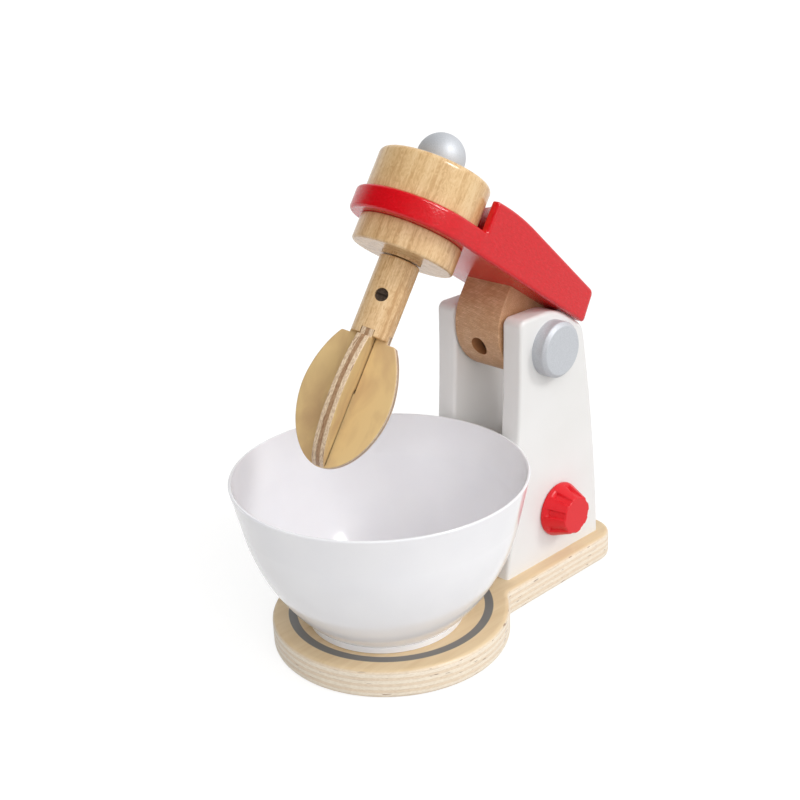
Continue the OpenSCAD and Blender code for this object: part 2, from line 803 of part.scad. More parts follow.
// Outside of the wall from the foot to the rim: an arc and a straight flare.
module bowl_wall_outline() {
    foot_r = foot_d / 2;
    foot_edge = foot_band / 8;
    start = [foot_r + floor_drop, foot_h];
    shoulder = [shoulder_r, shoulder_h];
    centre = circle_centre(start, shoulder, belly_r);
    a0 = atan2(start[1] - centre[1], start[0] - centre[0]);
    a1 = atan2(shoulder[1] - centre[1], shoulder[0] - centre[0]);
    lip = bowl_wall / 2;
    inner_r = belly_r - bowl_wall;
    floor_a = -acos(0) + acos((bowl_floor - centre[1]) / inner_r * -1);
    outer = arc(centre, belly_r, a0, a1, 2 * arc_steps);
    inner = arc(centre, inner_r, a1, floor_a, 2 * arc_steps);
    polygon(concat(
        [[0, foot_hollow], [foot_r - foot_band, foot_hollow], [foot_r - foot_band, 0],
            [foot_r - foot_edge, 0], [foot_r, foot_edge], [foot_r, foot_h - foot_edge]],
        outer,
        arc([rim_r - lip, bowl_h - lip], lip, 0, 180),
        inner,
        [[0, bowl_floor]]
    ));
}

module bowl() {
    color(white_paint)
    translate([bowl_side, bowl_y, base_t]) rotate_extrude($fn = 96) bowl_wall_outline();
}

base_board();
base_screws();
cheek_left();
cheek_right();
spine();
cheek_dowels();
hinge_pin();
hinge_washers();
hinge_cap_left();
hinge_cap_right();
hinge_block();
block_screw();
block_dowels();
arm();
upper_drum();
lower_disc();
collar();
spindle();
ball_knob();
beater_holder();
holder_screw();
blade_side();
blade_front();
knob();
knob_screw();
bowl();
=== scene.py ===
# %% [markdown]
# # A wooden play mixer
# The toy is a red arm on a white column, over a plywood base and a loose plastic bowl. The packed
# model already holds every piece at its real size, and nothing here moves or resizes it. This file
# gives the pieces that show their softened edges, and every piece the finish of its real material.

# %% The frame
import json

import bmesh
import bpy
import numpy as np
from mathutils import Matrix, Vector

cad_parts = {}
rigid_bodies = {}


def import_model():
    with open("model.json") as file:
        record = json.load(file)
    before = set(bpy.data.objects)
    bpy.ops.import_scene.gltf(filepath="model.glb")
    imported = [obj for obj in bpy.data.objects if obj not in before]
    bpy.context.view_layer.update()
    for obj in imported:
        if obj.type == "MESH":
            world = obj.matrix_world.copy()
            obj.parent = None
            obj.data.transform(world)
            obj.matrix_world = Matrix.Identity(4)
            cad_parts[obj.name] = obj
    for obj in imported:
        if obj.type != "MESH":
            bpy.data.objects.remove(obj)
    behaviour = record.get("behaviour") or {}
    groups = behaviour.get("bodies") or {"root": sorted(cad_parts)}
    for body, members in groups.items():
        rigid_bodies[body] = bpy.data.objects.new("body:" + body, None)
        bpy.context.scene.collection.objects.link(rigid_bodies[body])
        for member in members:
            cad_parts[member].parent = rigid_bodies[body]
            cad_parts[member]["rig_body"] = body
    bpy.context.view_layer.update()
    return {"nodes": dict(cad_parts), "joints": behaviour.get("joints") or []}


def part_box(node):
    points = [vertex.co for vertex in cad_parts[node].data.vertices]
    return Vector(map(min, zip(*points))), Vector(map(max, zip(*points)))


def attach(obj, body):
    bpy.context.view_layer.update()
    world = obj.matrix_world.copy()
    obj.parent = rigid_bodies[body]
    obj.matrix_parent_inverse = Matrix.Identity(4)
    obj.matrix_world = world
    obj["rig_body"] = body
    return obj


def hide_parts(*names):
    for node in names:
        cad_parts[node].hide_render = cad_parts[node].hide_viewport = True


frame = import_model()
nodes = frame["nodes"]
joints = {joint["name"]: joint for joint in frame["joints"]}

# %% [markdown]
# ## Units and the tilted head
# Sizes are in millimetres, because that is how a maker would read them off the toy. The head is
# worked out level, with its beater upright, and `tilt_back` then turns it about the hinge. The
# hinge and the angle come from the frame's own joint, so the head can't drift away from the model.

# %% Millimetres and the tilt
MM = 0.001
hinge = np.array(joints["head_tilt"]["pos_m"]) / MM
tilt = np.radians(joints["head_tilt"]["range_deg"][1])


def tilt_back(points):
    """Turns level points about the hinge: forwards becomes forwards and up.

    y' = y cos t + z sin t and z' = z cos t - y sin t, measured from the hinge.
    """
    x, y, z = (np.asarray(points, float) - hinge).T
    turned = [x, y * np.cos(tilt) + z * np.sin(tilt), z * np.cos(tilt) - y * np.sin(tilt)]
    return np.array(turned).T + hinge


def box_mm(node):
    """The low and the high corner of a node's CAD box, in millimetres."""
    return [np.array(corner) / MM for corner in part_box(node)]


print("hinge in mm:", hinge, "tilt in degrees:", np.degrees(tilt))

# %% [markdown]
# ## The camera
# A product photograph is taken from a step away with a longer lens. The camera stands at the
# angle and distance that give the toy's outlines their measured slopes. Its axes are built by
# hand: back points from the toy to the lens, right is level, and a small roll levels the horizon.

# %% Camera
FRAME_PX = 800
SENSOR_MM = 36
focal_px = 1265.4
view_azimuth, view_elevation, view_roll = np.radians([46.52, 21.65, -2.64])
view_distance = 516.2
view_target = np.array([-15.5, 25.1, 90.65])

back = np.array([
    np.sin(view_azimuth) * np.cos(view_elevation),
    -np.cos(view_azimuth) * np.cos(view_elevation),
    np.sin(view_elevation),
])
level = np.array([np.cos(view_azimuth), np.sin(view_azimuth), 0])
upright = np.cross(back, level)
right = level * np.cos(view_roll) + upright * np.sin(view_roll)
up = upright * np.cos(view_roll) - level * np.sin(view_roll)

camera = bpy.data.objects.new("camera", bpy.data.cameras.new("camera"))
bpy.context.scene.collection.objects.link(camera)
camera.data.sensor_width = SENSOR_MM
camera.data.lens = focal_px / FRAME_PX * SENSOR_MM
camera.data.clip_start = 0.01
camera.matrix_world = Matrix.Translation(Vector((view_target + back * view_distance) * MM)) @ Matrix(
    np.array([right, up, back]).T.tolist()
).to_4x4()
bpy.context.scene.camera = camera
print("lens in mm:", round(camera.data.lens, 2))

# %% [markdown]
# ## From arrays to a piece
# Every new surface below is an array of points and a list of faces. Blender's own primitives would
# need cutting and moving to get there, and an array is exact from the start. `make_mesh` puts it
# into a mesh, merges the points that meet at seams and poles and turns the faces outwards. `dress`
# hands the piece to the body that it moves with. Edges stay sharp where faces meet at an angle.

# %% Mesh helpers
SHARP_DEGREES = 38
MERGE_MM = 0.002


def smooth(piece):
    """Smooth shading that still breaks at clear edges."""
    piece.data.shade_smooth()
    piece.data.set_sharp_from_angle(angle=np.radians(SHARP_DEGREES))


def make_mesh(name, points, faces):
    """An object from points in millimetres and faces as rows of point numbers."""
    mesh = bpy.data.meshes.new(name)
    mesh.from_pydata((np.asarray(points, float) * MM).tolist(), [], [list(face) for face in faces])
    shape = bmesh.new()
    shape.from_mesh(mesh)
    bmesh.ops.remove_doubles(shape, verts=shape.verts, dist=MERGE_MM * MM)
    bmesh.ops.dissolve_degenerate(shape, edges=shape.edges, dist=MERGE_MM * MM / 4)
    bmesh.ops.recalc_face_normals(shape, faces=shape.faces)
    shape.to_mesh(mesh)
    shape.free()
    piece = bpy.data.objects.new(name, mesh)
    bpy.context.scene.collection.objects.link(piece)
    smooth(piece)
    return piece


def dress(piece, node, material):
    """Makes a piece stand for a CAD node: its body and its finish."""
    piece.data.materials.clear()
    piece.data.materials.append(material)
    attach(piece, nodes[node]["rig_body"])
    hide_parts(node)
    low, high = box_mm(node)
    points = np.array([vertex.co for vertex in piece.data.vertices]) / MM
    grown = max((low - points.min(0)).max(), (points.max(0) - high).max())
    print(f"{piece.name}: {len(piece.data.polygons)} faces, outside its CAD box by {grown:.2f} mm")


def join_or_cut(piece, other, operation):
    """Joins another closed mesh to a piece or cuts it away, and deletes that other mesh."""
    change = piece.modifiers.new(operation, "BOOLEAN")
    change.operation = operation
    change.solver = "EXACT"
    change.object = other
    bpy.context.view_layer.update()
    result = bpy.data.meshes.new_from_object(
        piece.evaluated_get(bpy.context.evaluated_depsgraph_get())
    )
    piece.modifiers.clear()
    piece.data = result
    bpy.data.objects.remove(other)
    smooth(piece)


# %% [markdown]
# ## Outlines
# Most of this toy is sawn or turned from an outline. `fillet` rounds the corners of one, `inset`
# draws it in, and `support` adds a point close to each end of a long straight side. Without that
# last one, smooth shading would bend the light over a whole flat face.

# %% Outline helpers
SAME_MM = 1e-4


def arc(centre, radius, start, end, steps=12):
    """Points at centre + radius (cos a, sin a), for a from start to end in degrees."""
    a = np.radians(np.linspace(start, end, steps + 1))
    return np.asarray(centre) + radius * np.stack([np.cos(a), np.sin(a)], 1)


def distinct(outline):
    """Drops each point of a closed outline that lies on the one before it."""
    return outline[np.linalg.norm(outline - np.roll(outline, 1, 0), axis=1) > SAME_MM]


def fillet(corners, radii, steps=8):
    """Rounds each corner of a closed outline with an arc that touches both of its sides.

    With h half the angle between the sides, the arc's centre is r / sin h along the bisector, and
    it touches each side r / tan h from the corner.
    """
    p = np.asarray(corners, float)
    r = np.broadcast_to(radii, len(p)).astype(float)[:, None]
    u = np.roll(p, 1, 0) - p
    v = np.roll(p, -1, 0) - p
    u /= np.linalg.norm(u, axis=1)[:, None]
    v /= np.linalg.norm(v, axis=1)[:, None]
    half = np.arccos(np.clip((u * v).sum(1), -1, 1))[:, None] / 2
    bisector = (u + v) / np.maximum(np.linalg.norm(u + v, axis=1), 1e-9)[:, None]
    centre = p + bisector * r / np.sin(half)
    start = p + u * r / np.tan(half) - centre
    end = p + v * r / np.tan(half) - centre
    turn = np.arctan2(start[:, 0] * end[:, 1] - start[:, 1] * end[:, 0], (start * end).sum(1))
    a = np.arctan2(start[:, 1], start[:, 0])[:, None] + turn[:, None] * np.linspace(0, 1, steps + 1)
    points = centre[:, None] + r[:, None] * np.stack([np.cos(a), np.sin(a)], -1)
    return distinct(points.reshape(-1, 2))


def inset(outline, distance):
    """Moves each side of a closed anticlockwise outline inwards by its own distance.

    Each point goes where its two moved sides meet: n0 . s = d0 and n1 . s = d1.
    """
    side = np.roll(outline, -1, 0) - outline
    n1 = np.stack([-side[:, 1], side[:, 0]], 1) / np.linalg.norm(side, axis=1)[:, None]
    d1 = np.broadcast_to(distance, len(outline)).astype(float)[:, None]
    n0, d0 = np.roll(n1, 1, 0), np.roll(d1, 1, 0)
    c = (n0 * n1).sum(1)[:, None]
    parallel = 1 - c * c < 1e-9
    shift = (n0 * (d0 - c * d1) + n1 * (d1 - c * d0)) / np.where(parallel, 1, 1 - c * c)
    return outline + np.where(parallel, (n0 * d0 + n1 * d1) / 2, shift)


def support(profile, gap=0.3):
    """Adds a point at a small gap from each end of every straight stretch over four gaps long."""
    a, b = profile[:-1], profile[1:]
    length = np.linalg.norm(b - a, axis=1)[:, None]
    step = np.where(length > 4 * gap, gap, 0) * (b - a) / np.maximum(length, 1e-9)
    points = np.concatenate([np.stack([a, a + step, b - step], 1).reshape(-1, 2), profile[-1:]])
    keep = np.r_[True, np.linalg.norm(np.diff(points, axis=0), axis=1) > SAME_MM]
    return points[keep]


# %% [markdown]
# ## Turned and sawn shapes
# Drums, caps and the bowl are turned: a profile of radius and height goes once round an axis. The
# base, the cheeks and the blades are sawn: an outline is stacked into a slab whose edge rings are
# drawn in along a quarter circle, which is what sandpaper does to a wooden edge. A Bevel modifier
# could do that too, but here each edge keeps the same radius, however short its sides are.

# %% Surface builders
def grid_faces(rows, columns):
    """Four-sided faces of a grid whose columns close into a ring."""
    number = np.arange(rows * columns).reshape(rows, columns)
    low, high = number[:-1], number[1:]
    return np.stack([low, np.roll(low, -1, 1), np.roll(high, -1, 1), high], -1).reshape(-1, 4)


def capped_faces(rows, columns):
    """The faces of such a grid, with one more face that closes each end."""
    last = (rows - 1) * columns
    return [*grid_faces(rows, columns), range(columns), range(last, last + columns)]


def turned(name, profile, centre=(0, 0), segments=128, place=None):
    """A profile of (radius, height) once round an upright axis: (r cos a, r sin a, z)."""
    r, z = np.asarray(profile, float).T
    a = np.linspace(0, 2 * np.pi, segments, endpoint=False)
    points = np.stack([
        centre[0] + r[:, None] * np.cos(a),
        centre[1] + r[:, None] * np.sin(a),
        np.broadcast_to(z[:, None], (len(r), segments)),
    ], -1).reshape(-1, 3)
    return make_mesh(name, place(points) if place else points, grid_faces(len(r), segments))


def edge_rings(low, high, radius, steps=6, flat=0.3):
    """Rows of (inset, height) from low to high: quarter circles at both edges.

    inset = r (1 - sin a) and height = r (1 - cos a), with one more ring on each flat face.
    """
    a = np.linspace(0, np.pi / 2, steps + 1)
    lower = np.stack([radius * (1 - np.sin(a)), low + radius * (1 - np.cos(a))], 1)
    upper = np.stack([lower[::-1, 0], low + high - lower[::-1, 1]], 1)
    return np.concatenate([[[radius + flat, low]], lower, upper, [[radius + flat, high]]])


def slab(name, outline, rings, hold=False, axes=(0, 1, 2), place=None):
    """A stack of drawn-in copies of an outline, closed at both ends.

    The outline's two directions and the height go to the given axes. Sides that are held keep
    their place, such as a foot that stands on another piece.
    """
    layers = [
        np.c_[inset(outline, np.where(hold, 0, distance)), np.full(len(outline), height)]
        for distance, height in rings
    ]
    points = np.zeros((len(rings) * len(outline), 3))
    points[:, list(axes)] = np.concatenate(layers)
    faces = capped_faces(len(rings), len(outline))
    return make_mesh(name, place(points) if place else points, faces)


def rod(name, radius, start, end, segments=48, place=None):
    """A closed cylinder for cutting holes: each end point + r (cos a u + sin a v).

    The unit vectors u and v are square to the way between the ends and to each other.
    """
    start, end = np.asarray(start, float), np.asarray(end, float)
    along = (end - start) / np.linalg.norm(end - start)
    aside = np.cross(along, [0, 0, 1] if abs(along[2]) < 0.9 else [1, 0, 0])
    aside /= np.linalg.norm(aside)
    other = np.cross(along, aside)
    a = np.linspace(0, 2 * np.pi, segments, endpoint=False)[:, None]
    ring = radius * (np.cos(a) * aside + np.sin(a) * other)
    points = np.concatenate([start + ring, end + ring])
    return make_mesh(name, place(points) if place else points, capped_faces(2, segments))


# %% [markdown]
# ## Materials
# One function turns a hex colour to the linear values that Blender wants, and one small function
# adds a node. All patterns read the object's own coordinates in metres. Mapping is used in its
# Texture mode, where its scale is simply the real size of one grain streak or speck. An image
# could carry such patterns too, but it would need a flat layout and would blur close up.

# %% Node helpers
def colour(code):
    """A #rrggbb colour as linear red, green, blue and alpha."""
    srgb = np.array([int(code[i:i + 2], 16) for i in (1, 3, 5)]) / 255
    linear = np.where(srgb <= 0.04045, srgb / 12.92, ((srgb + 0.055) / 1.055) ** 2.4)
    return (*linear.tolist(), 1.0)


def add(tree, kind, settings=(), links=()):
    """Adds one node, sets its properties, sockets or ramp stops, and links its inputs.

    What an input is linked to is a socket, or a node, which stands for its first output.
    """
    node = tree.nodes.new("ShaderNode" + kind)
    for name, value in dict(settings).items():
        if name == "stops":
            ramp = node.color_ramp.elements
            while len(ramp) < len(value):
                ramp.new(0.5)
            for stop, (place, tint) in zip(ramp, value):
                stop.position = place
                stop.color = colour(tint) if isinstance(tint, str) else (tint, tint, tint, 1)
        elif isinstance(name, str) and hasattr(node, name):
            setattr(node, name, value)
        else:
            node.inputs[name].default_value = value
    for name, source in dict(links).items():
        socket = source if isinstance(source, bpy.types.NodeSocket) else source.outputs[0]
        tree.links.new(socket, node.inputs[name])
    return node


def new_material(name):
    """An empty node material, its tree and the object's own coordinates."""
    material = bpy.data.materials.new(name)
    material.use_nodes = True
    material.node_tree.nodes.clear()
    tree = material.node_tree
    return material, tree, add(tree, "TexCoord").outputs["Object"]


def finish(material, settings, links, kind="BsdfPrincipled"):
    """Ends a material with its shader and the output."""
    tree = material.node_tree
    shader = add(tree, kind, settings, links)
    add(tree, "OutputMaterial", links={"Surface": shader})
    print(f"{material.name}: {len(tree.nodes)} nodes")
    return material


def streaks(tree, place, size, turn=(0, 0, 0), centre=(0, 0, 0), **settings):
    """A pattern of streaks with a real size in mm along three axes that are turned as a whole."""
    stretched = add(tree, "Mapping", {
        "vector_type": "TEXTURE", "Rotation": turn, "Location": [c * MM for c in centre],
        "Scale": [side * MM for side in size],
    }, {"Vector": place})
    return add(tree, "TexNoise", {"Scale": 1, **settings}, {"Vector": stretched})


def off_axis(tree, place):
    """Each point's distance from the Z axis: the length of (x, y, 0)."""
    across = add(tree, "VectorMath", {"operation": "MULTIPLY", 1: (1, 1, 0)}, {0: place})
    return add(tree, "VectorMath", {"operation": "LENGTH"}, {0: across}).outputs["Value"]


# %% [markdown]
# ### Turned beech
# The drum, the disc and the dowel are beech, turned along the grain and given a satin varnish. The
# eye reads it by soft bands along the axis, by a mottled figure across them, and by the short dark
# flecks of its rays. Each is one noise stretched to the real size of its streaks. A wave texture
# makes bands as well, but they come out as even as print.

# %% Beech
head_turn = (-tilt, 0, 0)
# For each layer: its size in mm across and along the grain, its detail and its distortion.
BEECH_LAYERS = {
    "bands": (3.2, 60, 3, 0.3),
    "lines": (0.55, 12, 2, 0),
    "mottle": (1.6, 3, 4, 1.6),
    "rays": (0.3, 1.7, 1, 0),
}


def beech(name, light, middle, dark, grain_turn=(0, 0, 0), figure=0.3):
    """Varnished beech: bands and lines mixed with the figure set the tint, and rays darken it."""
    material, tree, place = new_material(name)
    layers = {
        layer: streaks(tree, place, (across, across, along), grain_turn, Detail=detail, Distortion=bend)
        for layer, (across, along, detail, bend) in BEECH_LAYERS.items()
    }
    grain = add(tree, "Mix", {"data_type": "FLOAT", 0: 0.35}, {2: layers["bands"], 3: layers["lines"]})
    figured = add(tree, "Mix", {"data_type": "FLOAT", 0: figure}, {2: grain, 3: layers["mottle"]})
    tint = add(tree, "ValToRGB", {"stops": [(0.4, dark), (0.5, middle), (0.6, light)]}, {0: figured})
    rays = add(tree, "ValToRGB", {"stops": [(0.58, 0.0), (0.7, 0.55)]}, {0: layers["rays"]})
    flecked = add(tree, "Mix", {"data_type": "RGBA", 7: colour(dark)}, {0: rays, 6: tint})
    bump = add(tree, "Bump", {"Strength": 0.3, "Distance": 0.04 * MM}, {"Height": layers["lines"]})
    return finish(material, {"Roughness": 0.24, "IOR": 1.5}, {
        "Base Color": flecked.outputs[2], "Normal": bump,
    })


drum_beech = beech("varnished_beech_drum", "#EBCB9B", "#E3BF8C", "#CFA672", head_turn, figure=0.34)
disc_beech = beech("varnished_beech_disc", "#E8C697", "#DDB787", "#C59B6A", head_turn)
dowel_beech = beech("varnished_beech_dowel", "#EBCB9E", "#DFBA8A", "#C49A69", head_turn)
plain_beech = beech("plain_beech_dowels", "#DDC29B", "#CFAE82", "#B79264")

# %% [markdown]
# ### Sawn beech
# The hinge block is a darker, steamed beech, left as the saw cut it. Short scratches lie across
# its face in two directions, and the eye takes them for its grain. Real ones are finer than this
# picture can show, so they are drawn about half a millimetre wide. The set screw's bore is painted
# darker, as painted shade inside the hole: everything near the bore's axis takes that colour.

# %% Hinge block wood
set_slope, set_hole_r = np.radians(33), 3.9
SAW_MARK = (4, 0.45, 0.34)
SAW_PASSES = ((8, 0.5), (-40, 0.4))


def sawn_beech():
    """Cloudy wood, a layer of marks for each pass of the saw, and painted shade in the bore."""
    material, tree, place = new_material("sawn_beech_block")
    clouds = add(tree, "TexNoise", {"Scale": 1 / (6 * MM), "Detail": 3, "Roughness": 0.6}, {"Vector": place})
    tint = add(tree, "ValToRGB", {"stops": [(0.35, "#D6AA80"), (0.65, "#E8C09A")]}, {0: clouds})
    height = clouds
    for lean, strength in SAW_PASSES:
        turn = Matrix.Rotation(-tilt, 3, "X") @ Matrix.Rotation(np.radians(lean), 3, "Y")
        marks = streaks(tree, place, SAW_MARK, turn.to_euler(), Detail=2, Roughness=0.7)
        amount = add(tree, "ValToRGB", {"stops": [(0.46, strength), (0.62, 0.0)]}, {0: marks})
        marked = add(tree, "Mix", {"data_type": "RGBA", 7: colour("#AC7C56")}, {0: amount, 6: tint})
        tint = marked.outputs[2]
        height = add(tree, "Math", {"operation": "ADD"}, {0: height, 1: marks})
    bore = add(tree, "Mapping", {
        "vector_type": "TEXTURE", "Location": hinge * MM, "Rotation": (np.pi / 2 + set_slope - tilt, 0, 0),
    }, {"Vector": place})
    outside = add(tree, "MapRange", {
        "From Min": (set_hole_r + 0.02) * MM, "From Max": (set_hole_r + 0.2) * MM,
    }, {0: off_axis(tree, bore)})
    # Painted shade: inside the set screw's bore the wood takes a darker brown.
    bore_shade = add(tree, "Mix", {"data_type": "RGBA", 6: colour("#B07A50")}, {0: outside, 7: tint})
    bump = add(tree, "Bump", {"Strength": 0.4, "Distance": 0.06 * MM}, {"Height": height})
    return finish(material, {"Roughness": 0.55, "IOR": 1.5}, {
        "Base Color": bore_shade.outputs[2], "Normal": bump,
    })


block_beech = sawn_beech()

# %% [markdown]
# ### Birch plywood
# Thin sheets of birch are glued with their grain crossed. The outer sheet is pale and even. At the
# sawn edge the sheets alternate between smooth long grain and dull end grain, with thin glue lines
# and a few voids. Each sheet could be a mesh of its own, but a pattern keeps the board one closed
# piece. The way through the board picks the sheet, and the object's own normal tells the sawn edge
# from the faces, also when the piece has turned.

# %% The plywood's sheets
SHEET_WAVES_MM, SHEET_WAVES, SHEET_START = 17, 0.3, 0.35


def sheets(tree, place, sheet, turn, centre):
    """Masks of the crossed sheets and of the glue lines, from the count of sheets along Z.

    count = z / thickness + a slow wave. Its fraction is near 0 or 1 in the glue, and the
    fraction of half the count is under a half in every second sheet.
    """
    through = add(tree, "Mapping", {
        "vector_type": "TEXTURE", "Rotation": turn, "Location": [c * MM for c in centre],
        "Scale": [sheet * MM] * 3,
    }, {"Vector": place})
    layer = add(tree, "SeparateXYZ", links={0: through}).outputs["Z"]
    waves = streaks(tree, place, [SHEET_WAVES_MM] * 3, turn, centre, Detail=0)
    wavy = add(tree, "Math", {"operation": "MULTIPLY_ADD", 1: SHEET_WAVES}, {0: waves, 2: layer})
    count = add(tree, "Math", {"operation": "ADD", 1: SHEET_START}, {0: wavy})
    half_count = add(tree, "Math", {"operation": "MULTIPLY", 1: 0.5}, {0: count})
    pair = add(tree, "Math", {"operation": "FRACT"}, {0: half_count})
    within = add(tree, "Math", {"operation": "FRACT"}, {0: count})
    crossed = [(0.0, 0.0), (0.05, 1.0), (0.45, 1.0), (0.5, 0.0)]
    lines = [(0.0, 1.0), (0.13, 0.0), (0.87, 0.0), (1.0, 1.0)]
    return (
        add(tree, "ValToRGB", {"stops": crossed}, {0: pair}),
        add(tree, "ValToRGB", {"stops": lines}, {0: within}),
    )


# %% The plywood's sawn edge
def sawn_edge(tree, place, sheet, edge, glue, end_grain, fleck, board):
    """The edge's colour and its grain: sawn sheets, then uneven glue lines, then dark voids."""
    crossed, lines = sheets(tree, place, sheet, *board)
    light, dark = edge
    grain = streaks(tree, place, (1.3, 1.3, 0.42), *board, Detail=3, Roughness=0.6)
    sawn = add(tree, "ValToRGB", {"stops": [(0.38, dark), (0.6, light)]}, {0: grain})
    dulled = add(tree, "Mix", {"data_type": "RGBA", "blend_type": "MULTIPLY", 7: colour(end_grain)}, {
        0: crossed, 6: sawn,
    })
    patches = streaks(tree, place, (9, 9, 1.1), *board, Detail=2)
    uneven = add(tree, "ValToRGB", {"stops": [(0.46, 0.0), (0.68, 0.5)]}, {0: patches})
    amount = add(tree, "Math", {"operation": "MULTIPLY"}, {0: lines, 1: uneven})
    glued = add(tree, "Mix", {"data_type": "RGBA", 7: colour(glue)}, {0: amount, 6: dulled.outputs[2]})
    gaps = streaks(tree, place, (6, 6, 0.7), *board, Detail=1)
    void = add(tree, "ValToRGB", {"stops": [(fleck - 0.05, 0.0), (fleck, 0.8)]}, {0: gaps})
    pitted = add(tree, "Mix", {"data_type": "RGBA", 7: colour("#8A6244")}, {0: void, 6: glued.outputs[2]})
    return pitted.outputs[2], grain


# %% Plywood
def painted_ring(tree, place, tint, inner, outer, paint):
    """Paint where the distance from the Z axis lies between the two radii in mm."""
    reach = off_axis(tree, place)
    past = [
        add(tree, "MapRange", {"From Min": (r - 0.1) * MM, "From Max": (r + 0.1) * MM}, {0: reach})
        for r in (inner, outer)
    ]
    band = add(tree, "Math", {"operation": "SUBTRACT"}, {0: past[0], 1: past[1]})
    return add(tree, "Mix", {"data_type": "RGBA", 7: colour(paint)}, {0: band, 6: tint}).outputs[2]


def plywood(name, sheet, face, edge, glue, end_grain, turn=(0, 0, 0), centre=(0, 0, 0),
            figure=(3, 40, 5), fleck=0.74, ring=None):
    """Plywood with sheets of one thickness in mm, whose turned frame has Z through the board.

    Face and edge are pairs of a light and a dark colour. A point is on the face where the
    normal's part along Z is near 1, and on the sawn edge where it is near 0.
    """
    material, tree, place = new_material(name)
    edge_tint, edge_grain = sawn_edge(tree, place, sheet, edge, glue, end_grain, fleck, (turn, centre))
    light, dark = face
    soft = streaks(tree, place, figure, turn, centre, Detail=4, Distortion=0.6)
    face_tint = add(tree, "ValToRGB", {"stops": [(0.32, dark), (0.62, light)]}, {0: soft})
    if ring:
        face_tint = painted_ring(tree, place, face_tint, *ring)
    normal = add(tree, "TexCoord").outputs["Normal"]
    facing = add(tree, "Mapping", {"vector_type": "TEXTURE", "Rotation": turn}, {"Vector": normal})
    facing_z = add(tree, "SeparateXYZ", links={0: facing}).outputs["Z"]
    flatness = add(tree, "Math", {"operation": "ABSOLUTE"}, {0: facing_z})
    is_face = add(tree, "MapRange", {"From Min": 0.6, "From Max": 0.8}, {0: flatness})
    tint = add(tree, "Mix", {"data_type": "RGBA"}, {0: is_face, 6: edge_tint, 7: face_tint})
    bump = add(tree, "Bump", {"Strength": 0.3, "Distance": 0.06 * MM}, {"Height": edge_grain})
    return finish(material, {"Roughness": 0.42, "IOR": 1.5}, {
        "Base Color": tint.outputs[2], "Normal": bump,
    })


# %% [markdown]
# ### Paints
# The arm is sprayed with gloss red over the open grain of the wood, which leaves small dimples; its
# lighter specks are painted glints. The column is satin white, smooth to the eye. Caps and ball carry a fine
# silver paint:
# its metal flakes are too small to see, so they are drawn a third of a millimetre wide, and a
# partly metallic shader with a soft gloss stands in for them. A full metal would mirror the room.

# %% Paints
def gloss_red():
    """Gloss paint on open grain: fine dimples over broad waves, and lighter specks painted in as glints."""
    material, tree, place = new_material("gloss_red_paint")
    specks = streaks(tree, place, (0.9, 2.2, 0.9), head_turn, Detail=3, Roughness=0.7)
    waves = streaks(tree, place, (6, 14, 6), head_turn, Detail=2)
    fine = add(tree, "Bump", {"Strength": 1.0, "Distance": 0.16 * MM}, {"Height": specks})
    broad = add(tree, "Bump", {"Strength": 0.3, "Distance": 0.15 * MM}, {"Height": waves, "Normal": fine})
    # The lightest stop is a painted glint: where the dimples' noise is high, the red is lighter.
    reds_with_painted_glints = [(0.35, "#CE000C"), (0.6, "#DA0014"), (0.76, "#E21C26")]
    tint = add(tree, "ValToRGB", {"stops": reds_with_painted_glints}, {0: specks})
    return finish(material, {"Roughness": 0.2, "IOR": 1.5}, {"Base Color": tint, "Normal": broad})


def satin_white():
    """Smooth white paint: faint clouds in its colour and a finer ripple in its surface."""
    material, tree, place = new_material("satin_white_paint")
    ripple = add(tree, "TexNoise", {"Scale": 1 / (2.5 * MM), "Detail": 3}, {"Vector": place})
    clouds = add(tree, "TexNoise", {"Scale": 1 / (25 * MM), "Detail": 2}, {"Vector": place})
    bump = add(tree, "Bump", {"Strength": 0.15, "Distance": 0.04 * MM}, {"Height": ripple})
    tint = add(tree, "ValToRGB", {"stops": [(0.3, "#E9E8E6"), (0.7, "#ECEBEA")]}, {0: clouds})
    return finish(material, {"Roughness": 0.36, "IOR": 1.5}, {"Base Color": tint, "Normal": bump})


def speckled(name, grain, detail, dark, light, shader, bump=None):
    """One fine noise, with its grain in mm, gives the change of colour and the bump, if any.

    The bump is its strength and its depth in mm.
    """
    material, tree, place = new_material(name)
    specks = add(tree, "TexNoise", {"Scale": 1 / (grain * MM), "Detail": detail}, {"Vector": place})
    links = {"Base Color": add(tree, "ValToRGB", {"stops": [(0.3, dark), (0.7, light)]}, {0: specks})}
    if bump:
        strength, depth = bump
        links["Normal"] = add(tree, "Bump", {"Strength": strength, "Distance": depth * MM}, {
            "Height": specks,
        })
    return finish(material, shader, links)


red_paint, white_paint = gloss_red(), satin_white()
silver = speckled(
    "silver_paint", 0.35, 2, "#BDC0C5", "#CDD0D5",
    {"Roughness": 0.58, "Metallic": 0.3, "IOR": 1.5}, bump=(0.12, 0.03),
)

# %% [markdown]
# ### Plastics and steel
# The bowl is moulded in glossy white plastic, so clean that only its reflections show a surface.
# A faint waviness from the mould keeps them from being ruler straight, and a little light that
# goes in and comes out beside keeps its shadows soft. The knob is moulded in a duller red, with
# the mould's fine grain drawn 0.4 mm wide so that it can show. Screws and pin are zinc-plated
# steel, dulled by fine scratches, and the washers are pressed dark fibre.

# %% Plastics and steel
bowl_plastic = speckled("gloss_white_plastic", 16, 1, "#F5F5FA", "#F8F8FC", {
    "Roughness": 0.12, "IOR": 1.5, "Subsurface Weight": 0.3, "Subsurface Scale": 3 * MM,
    "Subsurface Radius": (1, 1, 1),
}, bump=(0.1, 0.15))
knob_plastic = speckled(
    "moulded_red_plastic", 0.4, 2, "#DA0A1A", "#E2101E", {"Roughness": 0.38, "IOR": 1.46}, (0.15, 0.03)
)
washer = speckled("dark_fibre_washer", 0.3, 3, "#2C2A29", "#45423F", {"Roughness": 0.8})


